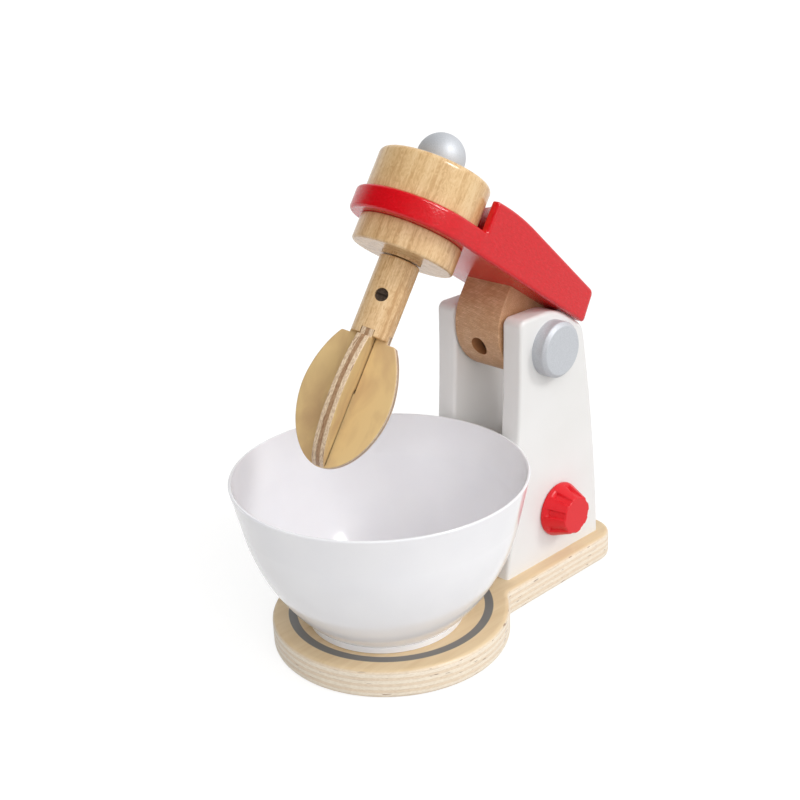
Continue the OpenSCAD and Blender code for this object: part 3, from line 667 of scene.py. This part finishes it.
def zinc_steel():
    """Dull plated steel: one noise makes it rougher where it is paler."""
    material, tree, place = new_material("zinc_plated_steel")
    wear = add(tree, "TexNoise", {"Scale": 1 / (0.8 * MM), "Detail": 3}, {"Vector": place})
    rough = add(tree, "MapRange", {"To Min": 0.3, "To Max": 0.55}, {0: wear})
    tint = add(tree, "ValToRGB", {"stops": [(0.3, "#54463C"), (0.7, "#6E5F54")]}, {0: wear})
    return finish(material, {"Metallic": 0.6}, {"Base Color": tint, "Roughness": rough})


steel = zinc_steel()

# %% [markdown]
# ## The base board
# The real board is sawn from plywood: a disc with a straight tail, its inner corners eased with a
# large cutter and its edges rounded over. A disc and a box could be joined, but a joint has no
# eased corners, so its outline is one closed line of arcs, and the slab rounds its edges. The
# sinkings for the screws' heads are cut from below. The grey ring has no thickness: it is paint.

# %% Base board
base_high = box_mm("base_board")[1]
base_t = base_high[2]
disc_r = base_high[0]
tail_half = 29.2
tail_corner_r, neck_r, base_edge_r = 13, 6, 2
BASE_SHEETS = 9
RING = (38.4, 41.9, "#777573")
head_r, head_gap, head_depth = 3.5, 0.3, 3


def base_outline():
    """A circle, a rectangle's three sides, and arcs that touch both where they meet."""
    neck_x = tail_half + neck_r
    neck_y = np.sqrt((disc_r + neck_r) ** 2 - neck_x ** 2)
    touch = np.degrees(np.arctan2(neck_y, neck_x))
    rear = base_high[1]
    corner_x, corner_y = tail_half - tail_corner_r, rear - tail_corner_r
    return distinct(np.concatenate([
        arc((0, 0), disc_r, 180 - touch, 360 + touch, 120),
        arc((neck_x, neck_y), neck_r, 180 + touch, 180),
        arc((corner_x, corner_y), tail_corner_r, 0, 90),
        arc((-corner_x, corner_y), tail_corner_r, 90, 180),
        arc((-neck_x, neck_y), neck_r, 0, -touch),
    ]))


base_ply = plywood(
    "birch_ply_base", base_t / BASE_SHEETS, ("#E4CCA6", "#DCC198"), ("#F4E8D6", "#EADCC8"),
    "#A68C72", "#F6EFE6", centre=(0, 0, base_t / 2), ring=RING,
)
board = slab("base_board_dressed", base_outline(), edge_rings(0, base_t, base_edge_r))
screw_low, screw_high = box_mm("base_screws")
for x in (screw_low[0] + head_r, screw_high[0] - head_r):
    for y in (screw_low[1] + head_r, screw_high[1] - head_r):
        sinking = rod("sinking", head_r + head_gap, (x, y, -1), (x, y, head_depth))
        join_or_cut(board, sinking, "DIFFERENCE")
dress(board, "base_board", base_ply)

# %% [markdown]
# ## The cheeks
# Each cheek is a board with a curved outline and softly sanded, painted edges. An extruded curve
# would round all its edges alike, but its foot stands flat on the base. So it is a slab again, and
# the foot's side of the outline is held while the others are drawn in.

# %% Cheeks
cheek_low, cheek_high = box_mm("cheek_right")
cheek_edge_r = 1.6
front_sweep, front_corner_r = 10, 3.5
rear_lean, rear_bulge, rear_corner_r = 12, 1.8, 7
crown_r = 24
pin_r, axle_r, bore_gap = 3, 2.5, 0.06
LEVEL_MM = 0.01


def circle_centre(p, q, radius):
    """Centre of the circle through p and q that lies on the left of the way from p to q."""
    p, q = np.asarray(p, float), np.asarray(q, float)
    d = q - p
    reach = np.sqrt(radius ** 2 - (d @ d) / 4)
    return (p + q) / 2 + reach * np.array([-d[1], d[0]]) / np.linalg.norm(d)


def cheek_outline():
    """(y, z): a hollow front arc, a flat top, the slope that stops the arm, and a full rear arc.

    An arc with rise h whose end is s aside has the radius (h^2 + s^2) / 2 s, and one that bulges
    by s over a chord c has (c^2 / 4 + s^2) / 2 s.
    """
    foot_z, top = cheek_low[2], cheek_high[2]
    front, rear = cheek_low[1], cheek_high[1]
    stop = top - hinge[2]
    rise = top - foot_z
    sweep_r = (rise ** 2 + front_sweep ** 2) / (2 * front_sweep)
    z = np.linspace(foot_z, top, 25)
    y = front + front_sweep - sweep_r + np.sqrt(sweep_r ** 2 - (top - z) ** 2)
    crown = np.array([hinge[1] + stop * np.tan(tilt / 2), top])
    shoulder_y = rear - rear_lean
    shoulder = np.array([
        shoulder_y, hinge[2] + (stop - (shoulder_y - hinge[1]) * np.sin(tilt)) / np.cos(tilt)
    ])
    foot = np.array([rear, foot_z])
    chord = np.linalg.norm(shoulder - foot)
    bulge_r = (chord ** 2 / 4 + rear_bulge ** 2) / (2 * rear_bulge)
    centre = circle_centre(foot, shoulder, bulge_r)
    ends = [np.degrees(np.arctan2(*(point - centre)[::-1])) for point in (foot, shoulder)]
    back_arc = arc(centre, bulge_r, *ends, 24)
    corners = np.concatenate([back_arc, [crown], np.stack([y, z], 1)[::-1]])
    radii = np.zeros(len(corners))
    radii[len(back_arc) - 1:len(back_arc) + 2] = rear_corner_r, crown_r, front_corner_r
    return round_off(corners, radii)


def round_off(corners, radii):
    """Rounds the corners that have a radius, and drops the points of dense arcs beside them.

    A point goes where it lies closer to such a corner than the corner's radius and a little more.
    """
    keep = np.ones(len(corners), bool)
    for i in np.flatnonzero(radii):
        for step in (-1, 1):
            j = i + step
            while radii[j] == 0 and np.linalg.norm(corners[j] - corners[i]) < radii[i] * 1.05:
                keep[j] = False
                j += step
    return fillet(corners[keep], radii[keep], 12)


def sides_at(outline, height):
    """Which sides of an outline lie flat at one height: both their ends are there."""
    at_height = np.abs(outline[:, 1] - height) < LEVEL_MM
    return at_height & np.roll(at_height, -1)


axle_low, axle_high = box_mm("knob_screw")
axle_at = (axle_low[1:] + axle_high[1:]) / 2
cheek_line = cheek_outline()
on_foot = sides_at(cheek_line, cheek_low[2])
for side, node in ((1, "cheek_right"), (-1, "cheek_left")):
    rings = edge_rings(cheek_low[0], cheek_high[0], cheek_edge_r) * (1, side)
    cheek = slab(node + "_dressed", cheek_line, rings, on_foot, axes=(1, 2, 0))
    inner, outer = side * (cheek_low[0] - 1), side * (cheek_high[0] + 1)
    holes = [(pin_r, hinge[1:]), (axle_r, axle_at)]
    for radius, at in holes if node == "cheek_right" else holes[:1]:
        hole = rod("hole", radius + bore_gap, (inner, *at), (outer, *at))
        join_or_cut(cheek, hole, "DIFFERENCE")
    dress(cheek, node, white_paint)

# %% [markdown]
# ## Caps, drum, disc and ball
# These are all turned on a lathe, so each is one profile of corners with eased edges. The Screw
# modifier could turn it, but a grid of its own closes without a seam and points outwards at once.
# The caps lie on the hinge's axis, along X, and the others on the tilted axis of the head.

# %% Caps
cap_low, cap_high = box_mm("hinge_cap_right")
cap_r = (cap_high[1] - cap_low[1]) / 2
cap_face = cap_high[0]
cheek_face = cheek_high[0]
cap_bevel, cap_round, cap_face_round = 1.5, 1.2, 0.9


def along_x(points, side):
    """Lays an upright turned shape on the hinge's axis, pointing to one side."""
    x, y, z = points.T
    return np.stack([side * z, hinge[1] + x, hinge[2] + side * y], 1)


for side, node in ((1, "hinge_cap_right"), (-1, "hinge_cap_left")):
    profile = support(fillet([
        (0, cheek_face), (cap_r, cheek_face), (cap_r, cap_face - cap_bevel),
        (cap_r - cap_bevel, cap_face), (0, cap_face),
    ], [0, 0, cap_round, cap_face_round, 0]))
    cap = turned(node + "_dressed", profile, place=lambda points: along_x(points, side))
    dress(cap, node, silver)

# %% Drum, disc and ball
arm_z, plate_z = 124.0, 133.0
drum_y = -1.5
drum_r, drum_low, drum_high, drum_edge = 22.4, 133.3, 150.3, 2.4
disc_radius, disc_low, disc_edge = 20.25, 113.9, 1
hidden_edge = 0.5
ball_r, ball_z = 9.5, 154.7


def on_head(name, profile, segments=128):
    """A profile once round the drum's axis, tilted back with the head."""
    return turned(name, profile, centre=(0, drum_y), segments=segments, place=tilt_back)


drum = on_head("upper_drum_dressed", support(fillet([
    (0, drum_low), (drum_r, drum_low), (drum_r, drum_high), (0, drum_high),
], [0, hidden_edge, drum_edge, 0])))
dress(drum, "upper_drum", drum_beech)
disc = on_head("lower_disc_dressed", support(fillet([
    (0, disc_low), (disc_radius, disc_low), (disc_radius, arm_z), (0, arm_z),
], [0, disc_edge, hidden_edge, 0])))
dress(disc, "lower_disc", disc_beech)
ball_cut = np.degrees(np.arcsin((drum_high - ball_z) / ball_r))
ball_profile = np.concatenate([[(0, drum_high)], arc((0, ball_z), ball_r, ball_cut, 90, 40)])
dress(on_head("ball_knob_dressed", ball_profile), "ball_knob", silver)

# %% [markdown]
# ## The arm
# The arm is sawn from one thick board: a flat front with a round end, and a hump that starts behind
# a scoop round the drum. A box cut by a cylinder would leave raw edges that a Bevel can't follow
# evenly, so two slabs make it. One has the flat front's outline seen from above. The other has the
# hump's outline seen from the side, which changes from slice to slice because the scoop is round.
# Joining them leaves one closed mesh. The front sinks into the hump by a hair all round, because a
# union of faces that lie in one plane leaves slivers.

# %% Arm
arm_half, hump_h = 25.25, 12.9
arm_rear, rear_slope = 87.5, 1.5
scoop_r, scoop_land, land_blend = 24.9, 12, 0.5
crest_back, crest_r, hump_slope = 21.5, 110, np.radians(8.3)
arm_edge_r, rear_edge_r, scoop_edge_r, root_r = 1.3, 3.0, 0.8, 1.2
corner_width, corner_depth = 2.2, 1.2
kink_reach, kink_gap = 1.2, 1.5
plate_rear = 40
tuck = 0.02
spindle_r = 4


def hump_front(x):
    """The larger of the scoop's circle and the flat land beside it, blended where they meet.

    With a and b the two, (a + b + sqrt((a - b)^2 + k^2)) / 2 rounds the edge between them.
    """
    circle = np.sqrt(np.maximum(scoop_r ** 2 - x ** 2, 0))
    return drum_y + (circle + scoop_land + np.hypot(circle - scoop_land, land_blend)) / 2


def hump_height(y):
    """A circle's arc round the crest, and the straight line that leaves it at the hump's slope."""
    crest_y, crest_z = drum_y + crest_back, plate_z + hump_h
    fall = y - crest_y
    leave = crest_r * np.sin(hump_slope)
    on_arc = crest_z - crest_r + np.sqrt(crest_r ** 2 - np.clip(fall, -crest_r, leave) ** 2)
    return on_arc - np.maximum(fall - leave, 0) * np.tan(hump_slope)


def corner_arc(before, corner, after, radius, steps=8):
    """The arc of one rounded corner, always with the same number of points.

    Both sides are made ten times as long first, so that the arc fits also where one is short.
    """
    ends = [corner + (end - corner) * 10 for end in (before, after)]
    return fillet([ends[0], corner, ends[1]], [0, radius, 0], steps)[1:-1]


def hump_slice(x, draw_in):
    """Side outline of the hump at one distance from the middle, anticlockwise from the rear foot.

    Its corners are rounded after it is drawn in, so that a small corner never turns inside out.
    The front's root is a small hollow curve on to the flat front, just below its surface. Near
    the arm's sides its rear end follows an ellipse, which eases the upright corners.
    """
    front = hump_front(x)
    aside = np.clip(abs(x) - arm_half + corner_width, 0, corner_width) / corner_width
    rear = arm_rear - corner_depth * (1 - np.sqrt(1 - aside ** 2))
    rear_top = rear - rear_slope
    root_z = plate_z - tuck
    crest = np.linspace(rear_top - 1.2 * rear_edge_r, front + 2 * scoop_edge_r, 36)
    y = np.r_[rear_top, crest, front]
    corners = inset(np.concatenate([
        [(rear, arm_z)], np.stack([y, hump_height(y)], 1),
        [(front, root_z), (front - 2 * root_r, root_z), (front - 2 * root_r, arm_z)],
    ]), draw_in)
    radii = np.maximum(np.array([rear_edge_r / 2, rear_edge_r, scoop_edge_r]) - draw_in, 0.05)
    return np.concatenate([
        corner_arc(corners[-1], corners[0], corners[1], radii[0]),
        corner_arc(corners[0], corners[1], corners[2], radii[1]),
        corners[2:-4],
        corner_arc(corners[-5], corners[-4], corners[-3], radii[2]),
        corner_arc(corners[-4], corners[-3], corners[-2], root_r),
        corners[-2:],
    ])


def hump():
    """Slices across the arm, each drawn in by r (1 - cos a) where the side edges round over.

    The slices lie closer together where the scoop's circle meets the flat land beside it, which
    is sqrt(R^2 - land^2) from the middle.
    """
    a = np.linspace(0, np.pi / 2, 7)
    rim = np.stack([arm_half - arm_edge_r * (1 - np.sin(a)), arm_edge_r * (1 - np.cos(a))], 1)
    rim = np.concatenate([rim, [[arm_half, arm_edge_r + 0.3]]])
    kink = np.sqrt(scoop_r ** 2 - scoop_land ** 2) + np.linspace(-kink_reach, kink_reach, 9)
    inner = kink[0] - kink_gap
    middle = np.r_[-kink[::-1], np.linspace(-inner, inner, 33), kink]
    stations = np.concatenate([rim[::-1] * (-1, 1), np.c_[middle, 0 * middle], rim])
    layers = [np.insert(hump_slice(x, draw_in), 0, x, axis=1) for x, draw_in in stations]
    faces = capped_faces(len(layers), len(layers[0]))
    return make_mesh("arm_dressed", tilt_back(np.concatenate(layers)), faces)


def plate():
    """The flat front: a half circle and two straight sides that end inside the hump."""
    half = arm_half - tuck
    outline = np.concatenate([
        arc((0, drum_y), half, 180, 360, 72), [(half, plate_rear), (-half, plate_rear)],
    ])
    rings = edge_rings(arm_z + tuck, plate_z, arm_edge_r)
    return slab("plate", outline, rings, place=tilt_back)


arm = hump()
join_or_cut(arm, plate(), "UNION")
spindle_hole = rod(
    "hole", spindle_r + bore_gap, (0, drum_y, arm_z - 1), (0, drum_y, plate_z + 1), place=tilt_back
)
join_or_cut(arm, spindle_hole, "DIFFERENCE")
dress(arm, "arm", red_paint)

# %% [markdown]
# ## The hinge block
# A short length of steamed beech, round at the front so that it can swing between the cheeks. A
# bevelled box has no such large rounding, so it is a slab on an outline of arcs. Its top is glued
# under the arm, so that side is held, and the set screw's hole is bored to the pin.

# %% Hinge block
block_half, block_edge_r = 12, 0.5
block_front, block_r, block_drop, block_rear = 24.2, 22.4, 14, 9.7
set_reach = 40


def block_outline():
    """(y, z): a flat top, a quarter circle of block_r at the front and one at the rear."""
    front, rear = hinge[1] - block_front, hinge[1] + block_rear
    bottom = hinge[2] - block_drop
    return distinct(np.concatenate([
        [(rear, arm_z), (front, arm_z)],
        arc((front + block_r, bottom + block_r), block_r, 180, 270, 32),
        arc((rear - block_rear, bottom + block_rear), block_rear, 270, 360, 16),
    ]))


block_line = block_outline()
block = slab(
    "hinge_block_dressed", block_line, edge_rings(-block_half, block_half, block_edge_r),
    sides_at(block_line, arm_z), axes=(1, 2, 0), place=tilt_back,
)
set_way = np.array([0, -np.cos(set_slope), -np.sin(set_slope)]) * set_reach
across = np.array([block_half + 1, 0, 0])
for radius, start, end in (
    (set_hole_r, hinge, hinge + set_way),
    (pin_r + bore_gap / 2, hinge - across, hinge + across),
):
    join_or_cut(block, rod("hole", radius, start, end, place=tilt_back), "DIFFERENCE")
dress(block, "hinge_block", block_beech)

# %% [markdown]
# ## The beater
# The beater's dowel has crossed slots in its lower end, and a screw in its side. Two leaf-shaped
# blades, halved into each other, are glued into the slots. Cutting the slots with boxes leaves the
# crisp corners that a saw leaves. Each blade is a slab whose outline has its slit in it, so no cut
# is needed. The slit is a little wide, and shows as a dark line beside the other blade.

# %% Beater's dowel
holder_r, holder_low, holder_high, holder_edge = 8, 81.7, 112.4, 0.7
slot_top, slot_gap, slot_from, blade_t = 84.1, 0.15, 70, 5
side_hole_z, side_hole_r = 97.3, 2.6
beater_turn = np.radians(30)


def in_beater(points, turn):
    """Turns level points about the drum's axis, and tilts them back with the head.

    x' = x cos t - y sin t and y' = x sin t + y cos t, measured from that axis.
    """
    x, y, z = np.asarray(points, float).T
    c, s = np.cos(turn), np.sin(turn)
    return tilt_back(np.stack([x * c - y * s, drum_y + x * s + y * c, z], 1))


def box_points(low, high):
    """The eight corners of a box, each low or high along x, then y, then z."""
    x, y, z = np.meshgrid(*zip(low, high), indexing="ij")
    return np.stack([x, y, z], -1).reshape(-1, 3)


BOX_FACES = [(0, 1, 3, 2), (4, 6, 7, 5), (0, 4, 5, 1), (2, 3, 7, 6), (0, 2, 6, 4), (1, 5, 7, 3)]

holder = on_head("beater_holder_dressed", support(fillet([
    (0, holder_low), (holder_r, holder_low), (holder_r, holder_high), (0, holder_high),
], [0, holder_edge, holder_edge, 0])), 96)
for turn in (beater_turn, beater_turn + np.pi / 2):
    wide, half_slot = 1.5 * holder_r, blade_t / 2 + slot_gap
    slot_box = box_points((-wide, -half_slot, slot_from), (wide, half_slot, slot_top))
    join_or_cut(holder, make_mesh("slot", in_beater(slot_box, turn), BOX_FACES), "DIFFERENCE")
bore = rod(
    "hole", side_hole_r, (0, 0, side_hole_z), (0, -1.5 * holder_r, side_hole_z),
    place=lambda points: in_beater(points, beater_turn),
)
join_or_cut(holder, bore, "DIFFERENCE")
dress(holder, "beater_holder", dowel_beech)

# %% Blades
blade_half, blade_mid, blade_low_h = 17.8, 57.8, 28.2
blade_high_h, blade_close, blade_joint = 23.2, 31.2, 2.3
blade_low_power, blade_high_power = 1.9, 1.8
blade_edge_r, blade_corner_r, blade_fit = 0.5, 1, 0.3
BLADE_SHEETS = 3


def leaf_half(share, power):
    """Half width at a share of the way from the widest place: w (1 - share^n)^(1/n)."""
    return blade_half * np.maximum(0, 1 - share ** power) ** (1 / power)


def blade_outline(slit_from_top):
    """Anticlockwise from the tip: up the right side, over the tang, and down the left side.

    The lower part closes at the tip. The upper one would close at blade_close above the widest
    place, but is cut off flat below that.
    """
    a = np.linspace(0, np.pi / 2, 33)
    b = np.linspace(0, np.arcsin(blade_high_h / blade_close), 25)
    low = np.stack([leaf_half(np.cos(a), blade_low_power), blade_mid - blade_low_h * np.cos(a)], 1)
    high = np.stack([leaf_half(np.sin(b), blade_high_power), blade_mid + blade_close * np.sin(b)], 1)
    tang = holder_r - blade_fit
    slit = blade_t / 2 + blade_fit
    shoulder = fillet([high[-2], high[-1], (tang, high[-1, 1])], [0, blade_corner_r, 0])
    right = np.concatenate([low, high[1:-2], shoulder, [(tang, slot_top)]])
    middle = blade_mid + blade_joint + (-blade_fit if slit_from_top else blade_fit)
    if slit_from_top:
        notch = np.array([(slit, slot_top), (slit, middle)])
        right = np.concatenate([right, notch])
    else:
        tip_z = np.interp(slit, low[:, 0], low[:, 1])
        right = np.concatenate([[(slit, middle), (slit, tip_z)], right[right[:, 0] > slit]])
    return np.concatenate([right, (right * (-1, 1))[::-1]])


for node, turn, from_top in (("blade_side", 0, True), ("blade_front", np.pi / 2, False)):
    rings = edge_rings(-blade_t / 2, blade_t / 2, blade_edge_r, 3)
    blade = slab(
        node + "_dressed", distinct(blade_outline(from_top)), rings, axes=(0, 2, 1),
        place=lambda points: in_beater(points, beater_turn + turn),
    )
    through = Matrix.Identity(3)
    for angle, axis in ((-tilt, "X"), (beater_turn + turn, "Z"), (np.pi / 2, "X")):
        through = through @ Matrix.Rotation(angle, 3, axis)
    blade_ply = plywood(
        "birch_ply_" + node, blade_t / BLADE_SHEETS, ("#DBBC84", "#C9A677"), ("#E4CDAE", "#C4A88A"),
        "#927961", "#C4AF9C", through.to_euler(), tilt_back([(0, drum_y, blade_mid)])[0],
        figure=(7, 16, 7), fleck=0.68,
    )
    dress(blade, node, blade_ply)

# %% [markdown]
# ## The knob
# The knob is moulded: a taper with eight grooves for the fingers. Eight cutters could make them,
# but a cut leaves hard walls and thin triangles. Its surface is a turned profile whose radius also
# depends on the angle, so each groove is a smooth step in depth round the knob that starts a
# little above the skirt and runs out through the face.

# %% Knob
knob_low, knob_high = box_mm("knob")
knob_centre = (knob_low + knob_high) / 2
knob_len = knob_high[0] - knob_low[0]
knob_r = (knob_high[1] - knob_low[1]) / 2
knob_face_r, knob_skirt = 8.3, 1.0
back_edge_r, skirt_edge_r, face_edge_r = 0.2, 0.5, 0.7
GROOVES, groove_half, groove_turn = 8, 1.6, np.radians(31)
groove_depth, groove_fade, groove_start = 1.8, 0.129, 2.2
groove_wall, groove_flare, groove_inside, groove_end = 0.5, 0.2, 2.2, 1.2
STEPS_PER_GROOVE, KNOB_STEP_MM = 28, 0.5


def knob_surface():
    """r = profile(s) - depth(z) * groove(angle), closed by a flat face.

    The grooves' floors lean in less than the taper does, so they get shallower towards the face.
    Across a groove's wall the depth follows the smooth step w^2 (3 - 2 w).
    """
    steps_round = GROOVES * STEPS_PER_GROOVE
    profile = support(fillet([
        (0, 0), (knob_r, 0), (knob_r, knob_skirt), (knob_face_r, knob_len), (0, knob_len),
    ], [0, back_edge_r, skirt_edge_r, face_edge_r, 0], 6), 0.25)
    dense = []
    for p, q in zip(profile[:-1], profile[1:]):
        parts = max(1, int(np.linalg.norm(q - p) / KNOB_STEP_MM))
        dense.append(p + (q - p) * np.linspace(0, 1, parts, endpoint=False)[:, None])
    r, z = np.concatenate(dense + [profile[-1:]]).T
    a = np.linspace(0, 2 * np.pi, steps_round, endpoint=False)
    pitch = 2 * np.pi / GROOVES
    from_groove = np.abs((a - groove_turn + pitch / 2) % pitch - pitch / 2)
    arc_length = from_groove[None] * np.maximum(r, 1e-6)[:, None]
    wall = np.clip((groove_half + groove_flare - arc_length) / groove_wall, 0, 1)
    wall = wall * wall * (3 - 2 * wall)
    begin = np.clip((z - groove_start) / groove_wall, 0, 1)[:, None]
    reach = np.clip((r - knob_face_r + groove_inside) / groove_end, 0, 1)[:, None]
    depth = groove_depth - groove_fade * z[:, None]
    radius = np.maximum(r[:, None] - depth * wall * begin * reach, 0)
    points = np.stack([
        knob_low[0] + np.broadcast_to(z[:, None], radius.shape),
        knob_centre[1] + radius * np.cos(a),
        knob_centre[2] + radius * np.sin(a),
    ], -1).reshape(-1, 3)
    return make_mesh("knob_dressed", points, grid_faces(len(r), steps_round))


dress(knob_surface(), "knob", knob_plastic)

# %% [markdown]
# ## The bowl
# The bowl is a thin moulded shell. The Solidify modifier could thicken a single surface, but it
# gives neither the foot nor the lip. So one closed profile goes up the outside from a low foot,
# over a rounded lip and down the inside: both walls are arcs about one centre, so the wall keeps
# its thickness, and a short straight flare leads to the rim and gets thinner towards it.

# %% Bowl
bowl_low, bowl_high = box_mm("bowl")
bowl_x, bowl_y = (bowl_low[:2] + bowl_high[:2]) / 2
rim_r = (bowl_high[0] - bowl_low[0]) / 2
bowl_h = bowl_high[2] - base_t
foot_r, foot_h, foot_hollow, wall_t, belly_r, lip = 31.5, 3.4, 1.2, 2, 80, 0.6
shoulder = np.array([rim_r - 3.5, bowl_h - 16.5])


def bowl_profile():
    """(radius, height) from the middle of the hollow foot to the middle of the inside.

    The outer arc goes through the foot's top and the shoulder, and the inner one has the same
    centre and a radius that is smaller by the wall.
    """
    start = np.array([foot_r + 0.6, foot_h])
    centre = circle_centre(start, shoulder, belly_r)
    a0, a1 = (np.degrees(np.arctan2(*(point - centre)[::-1])) for point in (start, shoulder))
    floor = foot_h - 0.6
    inner_r = belly_r - wall_t
    a_floor = np.degrees(np.arcsin((floor - centre[1]) / inner_r))
    foot = [
        (0, foot_hollow), (foot_r - 2.6, foot_hollow), (foot_r - 2.2, 0), (foot_r - 0.4, 0),
        (foot_r, 0.4), (foot_r, foot_h - 0.9), (foot_r - 0.5, foot_h - 0.5),
        (foot_r - 0.4, foot_h - 0.2),
    ]
    outline = np.concatenate([
        foot, arc(centre, belly_r, a0, a1, 40), arc((rim_r - lip, bowl_h - lip), lip, 0, 180, 10),
        arc(centre, inner_r, a1, a_floor, 40), [(0, floor)],
    ])
    return outline + (0, base_t)


bowl = turned("bowl_dressed", support(bowl_profile()), (bowl_x, bowl_y), 192)
dress(bowl, "bowl", bowl_plastic)

# %% [markdown]
# ## The pieces that stay as they are
# Dowels, pins, screws and the parts inside the column are small or hidden, and their CAD shapes
# are already exact. Making them again would add nothing that shows, so they only get a finish.

# %% Carried-over nodes
kept = {
    "spine": white_paint, "collar": disc_beech, "spindle": dowel_beech, "cheek_dowels": plain_beech,
    "block_dowels": plain_beech, "hinge_pin": steel, "hinge_washers": washer, "base_screws": steel,
    "block_screw": steel, "holder_screw": steel, "knob_screw": steel,
}
for node, material in kept.items():
    nodes[node].data.materials.clear()
    nodes[node].data.materials.append(material)
print("kept CAD nodes:", sorted(kept))

# %% [markdown]
# ## Floor and light
# The light is that of a white studio, stronger from the knob's side. Two suns with wide discs help
# the sky: a key from behind the knob and a softer fill from the front, because unlike near lamps
# they light the whole floor evenly. In a real studio the side behind the lens is dark, which is
# why the front of the red arm looks so deep: the sky's mirror image is dark there. A softbox that
# only shiny surfaces see puts the small bright windows in the bowl and along the edges.

# %% Floor
FLOOR_HALF, FLOOR_Z = 6000, -0.05
FLOOR_LIFT, SHADOW_SHARE = 1.3, 0.22
rays_seen = ("Is Camera Ray", "Is Glossy Ray")


def floor_paper():
    """White paper. What the camera sees is part paper and part white, so that shadows stay faint."""
    material, tree, place = new_material("white_paper_floor")
    path = add(tree, "LightPath")
    fibres = add(tree, "TexNoise", {"Scale": 1 / (3 * MM), "Detail": 3}, {"Vector": place})
    tint = add(tree, "ValToRGB", {"stops": [(0.3, "#D2D1CF"), (0.7, "#D6D5D3")]}, {0: fibres})
    seen = add(tree, "Math", {"operation": "ADD"}, {i: path.outputs[ray] for i, ray in enumerate(rays_seen)})
    lifted = add(tree, "Mix", {"data_type": "RGBA", 7: (FLOOR_LIFT, FLOOR_LIFT, FLOOR_LIFT * 0.985, 1)}, {
        0: seen, 6: tint,
    })
    paper = add(tree, "BsdfDiffuse", {"Roughness": 0.5}, {"Color": lifted.outputs[2]})
    white = add(tree, "Emission", {"Color": colour("#FFFFFF"), "Strength": 1.0})
    amount = add(tree, "Math", {"operation": "MULTIPLY", 1: 1 - SHADOW_SHARE}, {0: seen})
    return finish(material, {}, {0: amount, 1: paper, 2: white}, kind="MixShader")


sides = (-FLOOR_HALF, FLOOR_HALF)
floor = make_mesh("floor", [(x, y, FLOOR_Z) for x in sides for y in sides], [(0, 2, 3, 1)])
floor.data.materials.append(floor_paper())

# %% Sky
bright_side, dark_side = (0.66, 0.1, 0.745), (0, -0.8, 0.6)
world = bpy.data.worlds.new("studio")
bpy.context.scene.world = world
world.use_nodes = True
sky = world.node_tree
sky.nodes.clear()
path = add(sky, "LightPath")
way = add(sky, "TexCoord").outputs["Generated"]
# What mirrors see: white, and nearly dark round the way behind the lens.
toward_dark = add(sky, "VectorMath", {"operation": "DOT_PRODUCT", 1: dark_side}, {0: way})
mirrored = add(sky, "MapRange", {
    "interpolation_type": "SMOOTHSTEP", "From Min": 0.0, "From Max": 0.6, "To Min": 1.0, "To Max": 0.04,
}, {0: toward_dark.outputs["Value"]})
# What lights the object: the sky gets brighter towards the knob's side.
toward_bright = add(sky, "VectorMath", {"operation": "DOT_PRODUCT", 1: bright_side}, {0: way})
even = add(sky, "MapRange", {
    "From Min": -0.85, "From Max": 1.0, "To Min": 0.03, "To Max": 0.88,
}, {0: toward_bright.outputs["Value"]})
unseen = add(sky, "Mix", {"data_type": "FLOAT"}, {0: path.outputs["Is Glossy Ray"], 2: even, 3: mirrored})
# What the camera sees: plain white.
strength = add(sky, "Mix", {"data_type": "FLOAT", 3: 1.0}, {0: path.outputs["Is Camera Ray"], 2: unseen})
light = add(sky, "Background", {"Color": colour("#FFFFFF")}, {"Strength": strength})
add(sky, "OutputWorld", links={"Surface": light})
print("sky:", len(sky.nodes), "nodes")


# %% Lamps
def lamp_object(name, kind, place, aim):
    """A lamp at a place in mm that shines towards another one."""
    lamp = bpy.data.objects.new(name, bpy.data.lights.new(name, kind))
    bpy.context.scene.collection.objects.link(lamp)
    way = Vector(aim) - Vector(place)
    turn = way.to_track_quat("-Z", "Y").to_matrix().to_4x4()
    lamp.matrix_world = Matrix.Translation(Vector(place) * MM) @ turn
    print(f"{name}: {way.length:.0f} mm from what it is aimed at")
    return lamp


key = lamp_object("key_sun", "SUN", (716, 394, 573), (0, 0, 0))
key.data.energy = 0.24 * np.pi
key.data.angle = np.radians(14)
key.visible_glossy = False

fill = lamp_object("front_fill", "SUN", (680, -420, 500), (0, 0, 0))
fill.data.energy = 0.3 * np.pi
fill.data.angle = np.radians(50)
fill.visible_glossy = False

window = lamp_object("window_softbox", "AREA", (820, 230, 900), (0, 30, 80))
window.data.shape = "RECTANGLE"
window.data.size = 240 * MM
window.data.size_y = 380 * MM
window.data.energy = 11
window.visible_diffuse = False

# %% Sizes and the end
bpy.context.scene.view_settings.view_transform = "Standard"
bpy.context.view_layer.update()
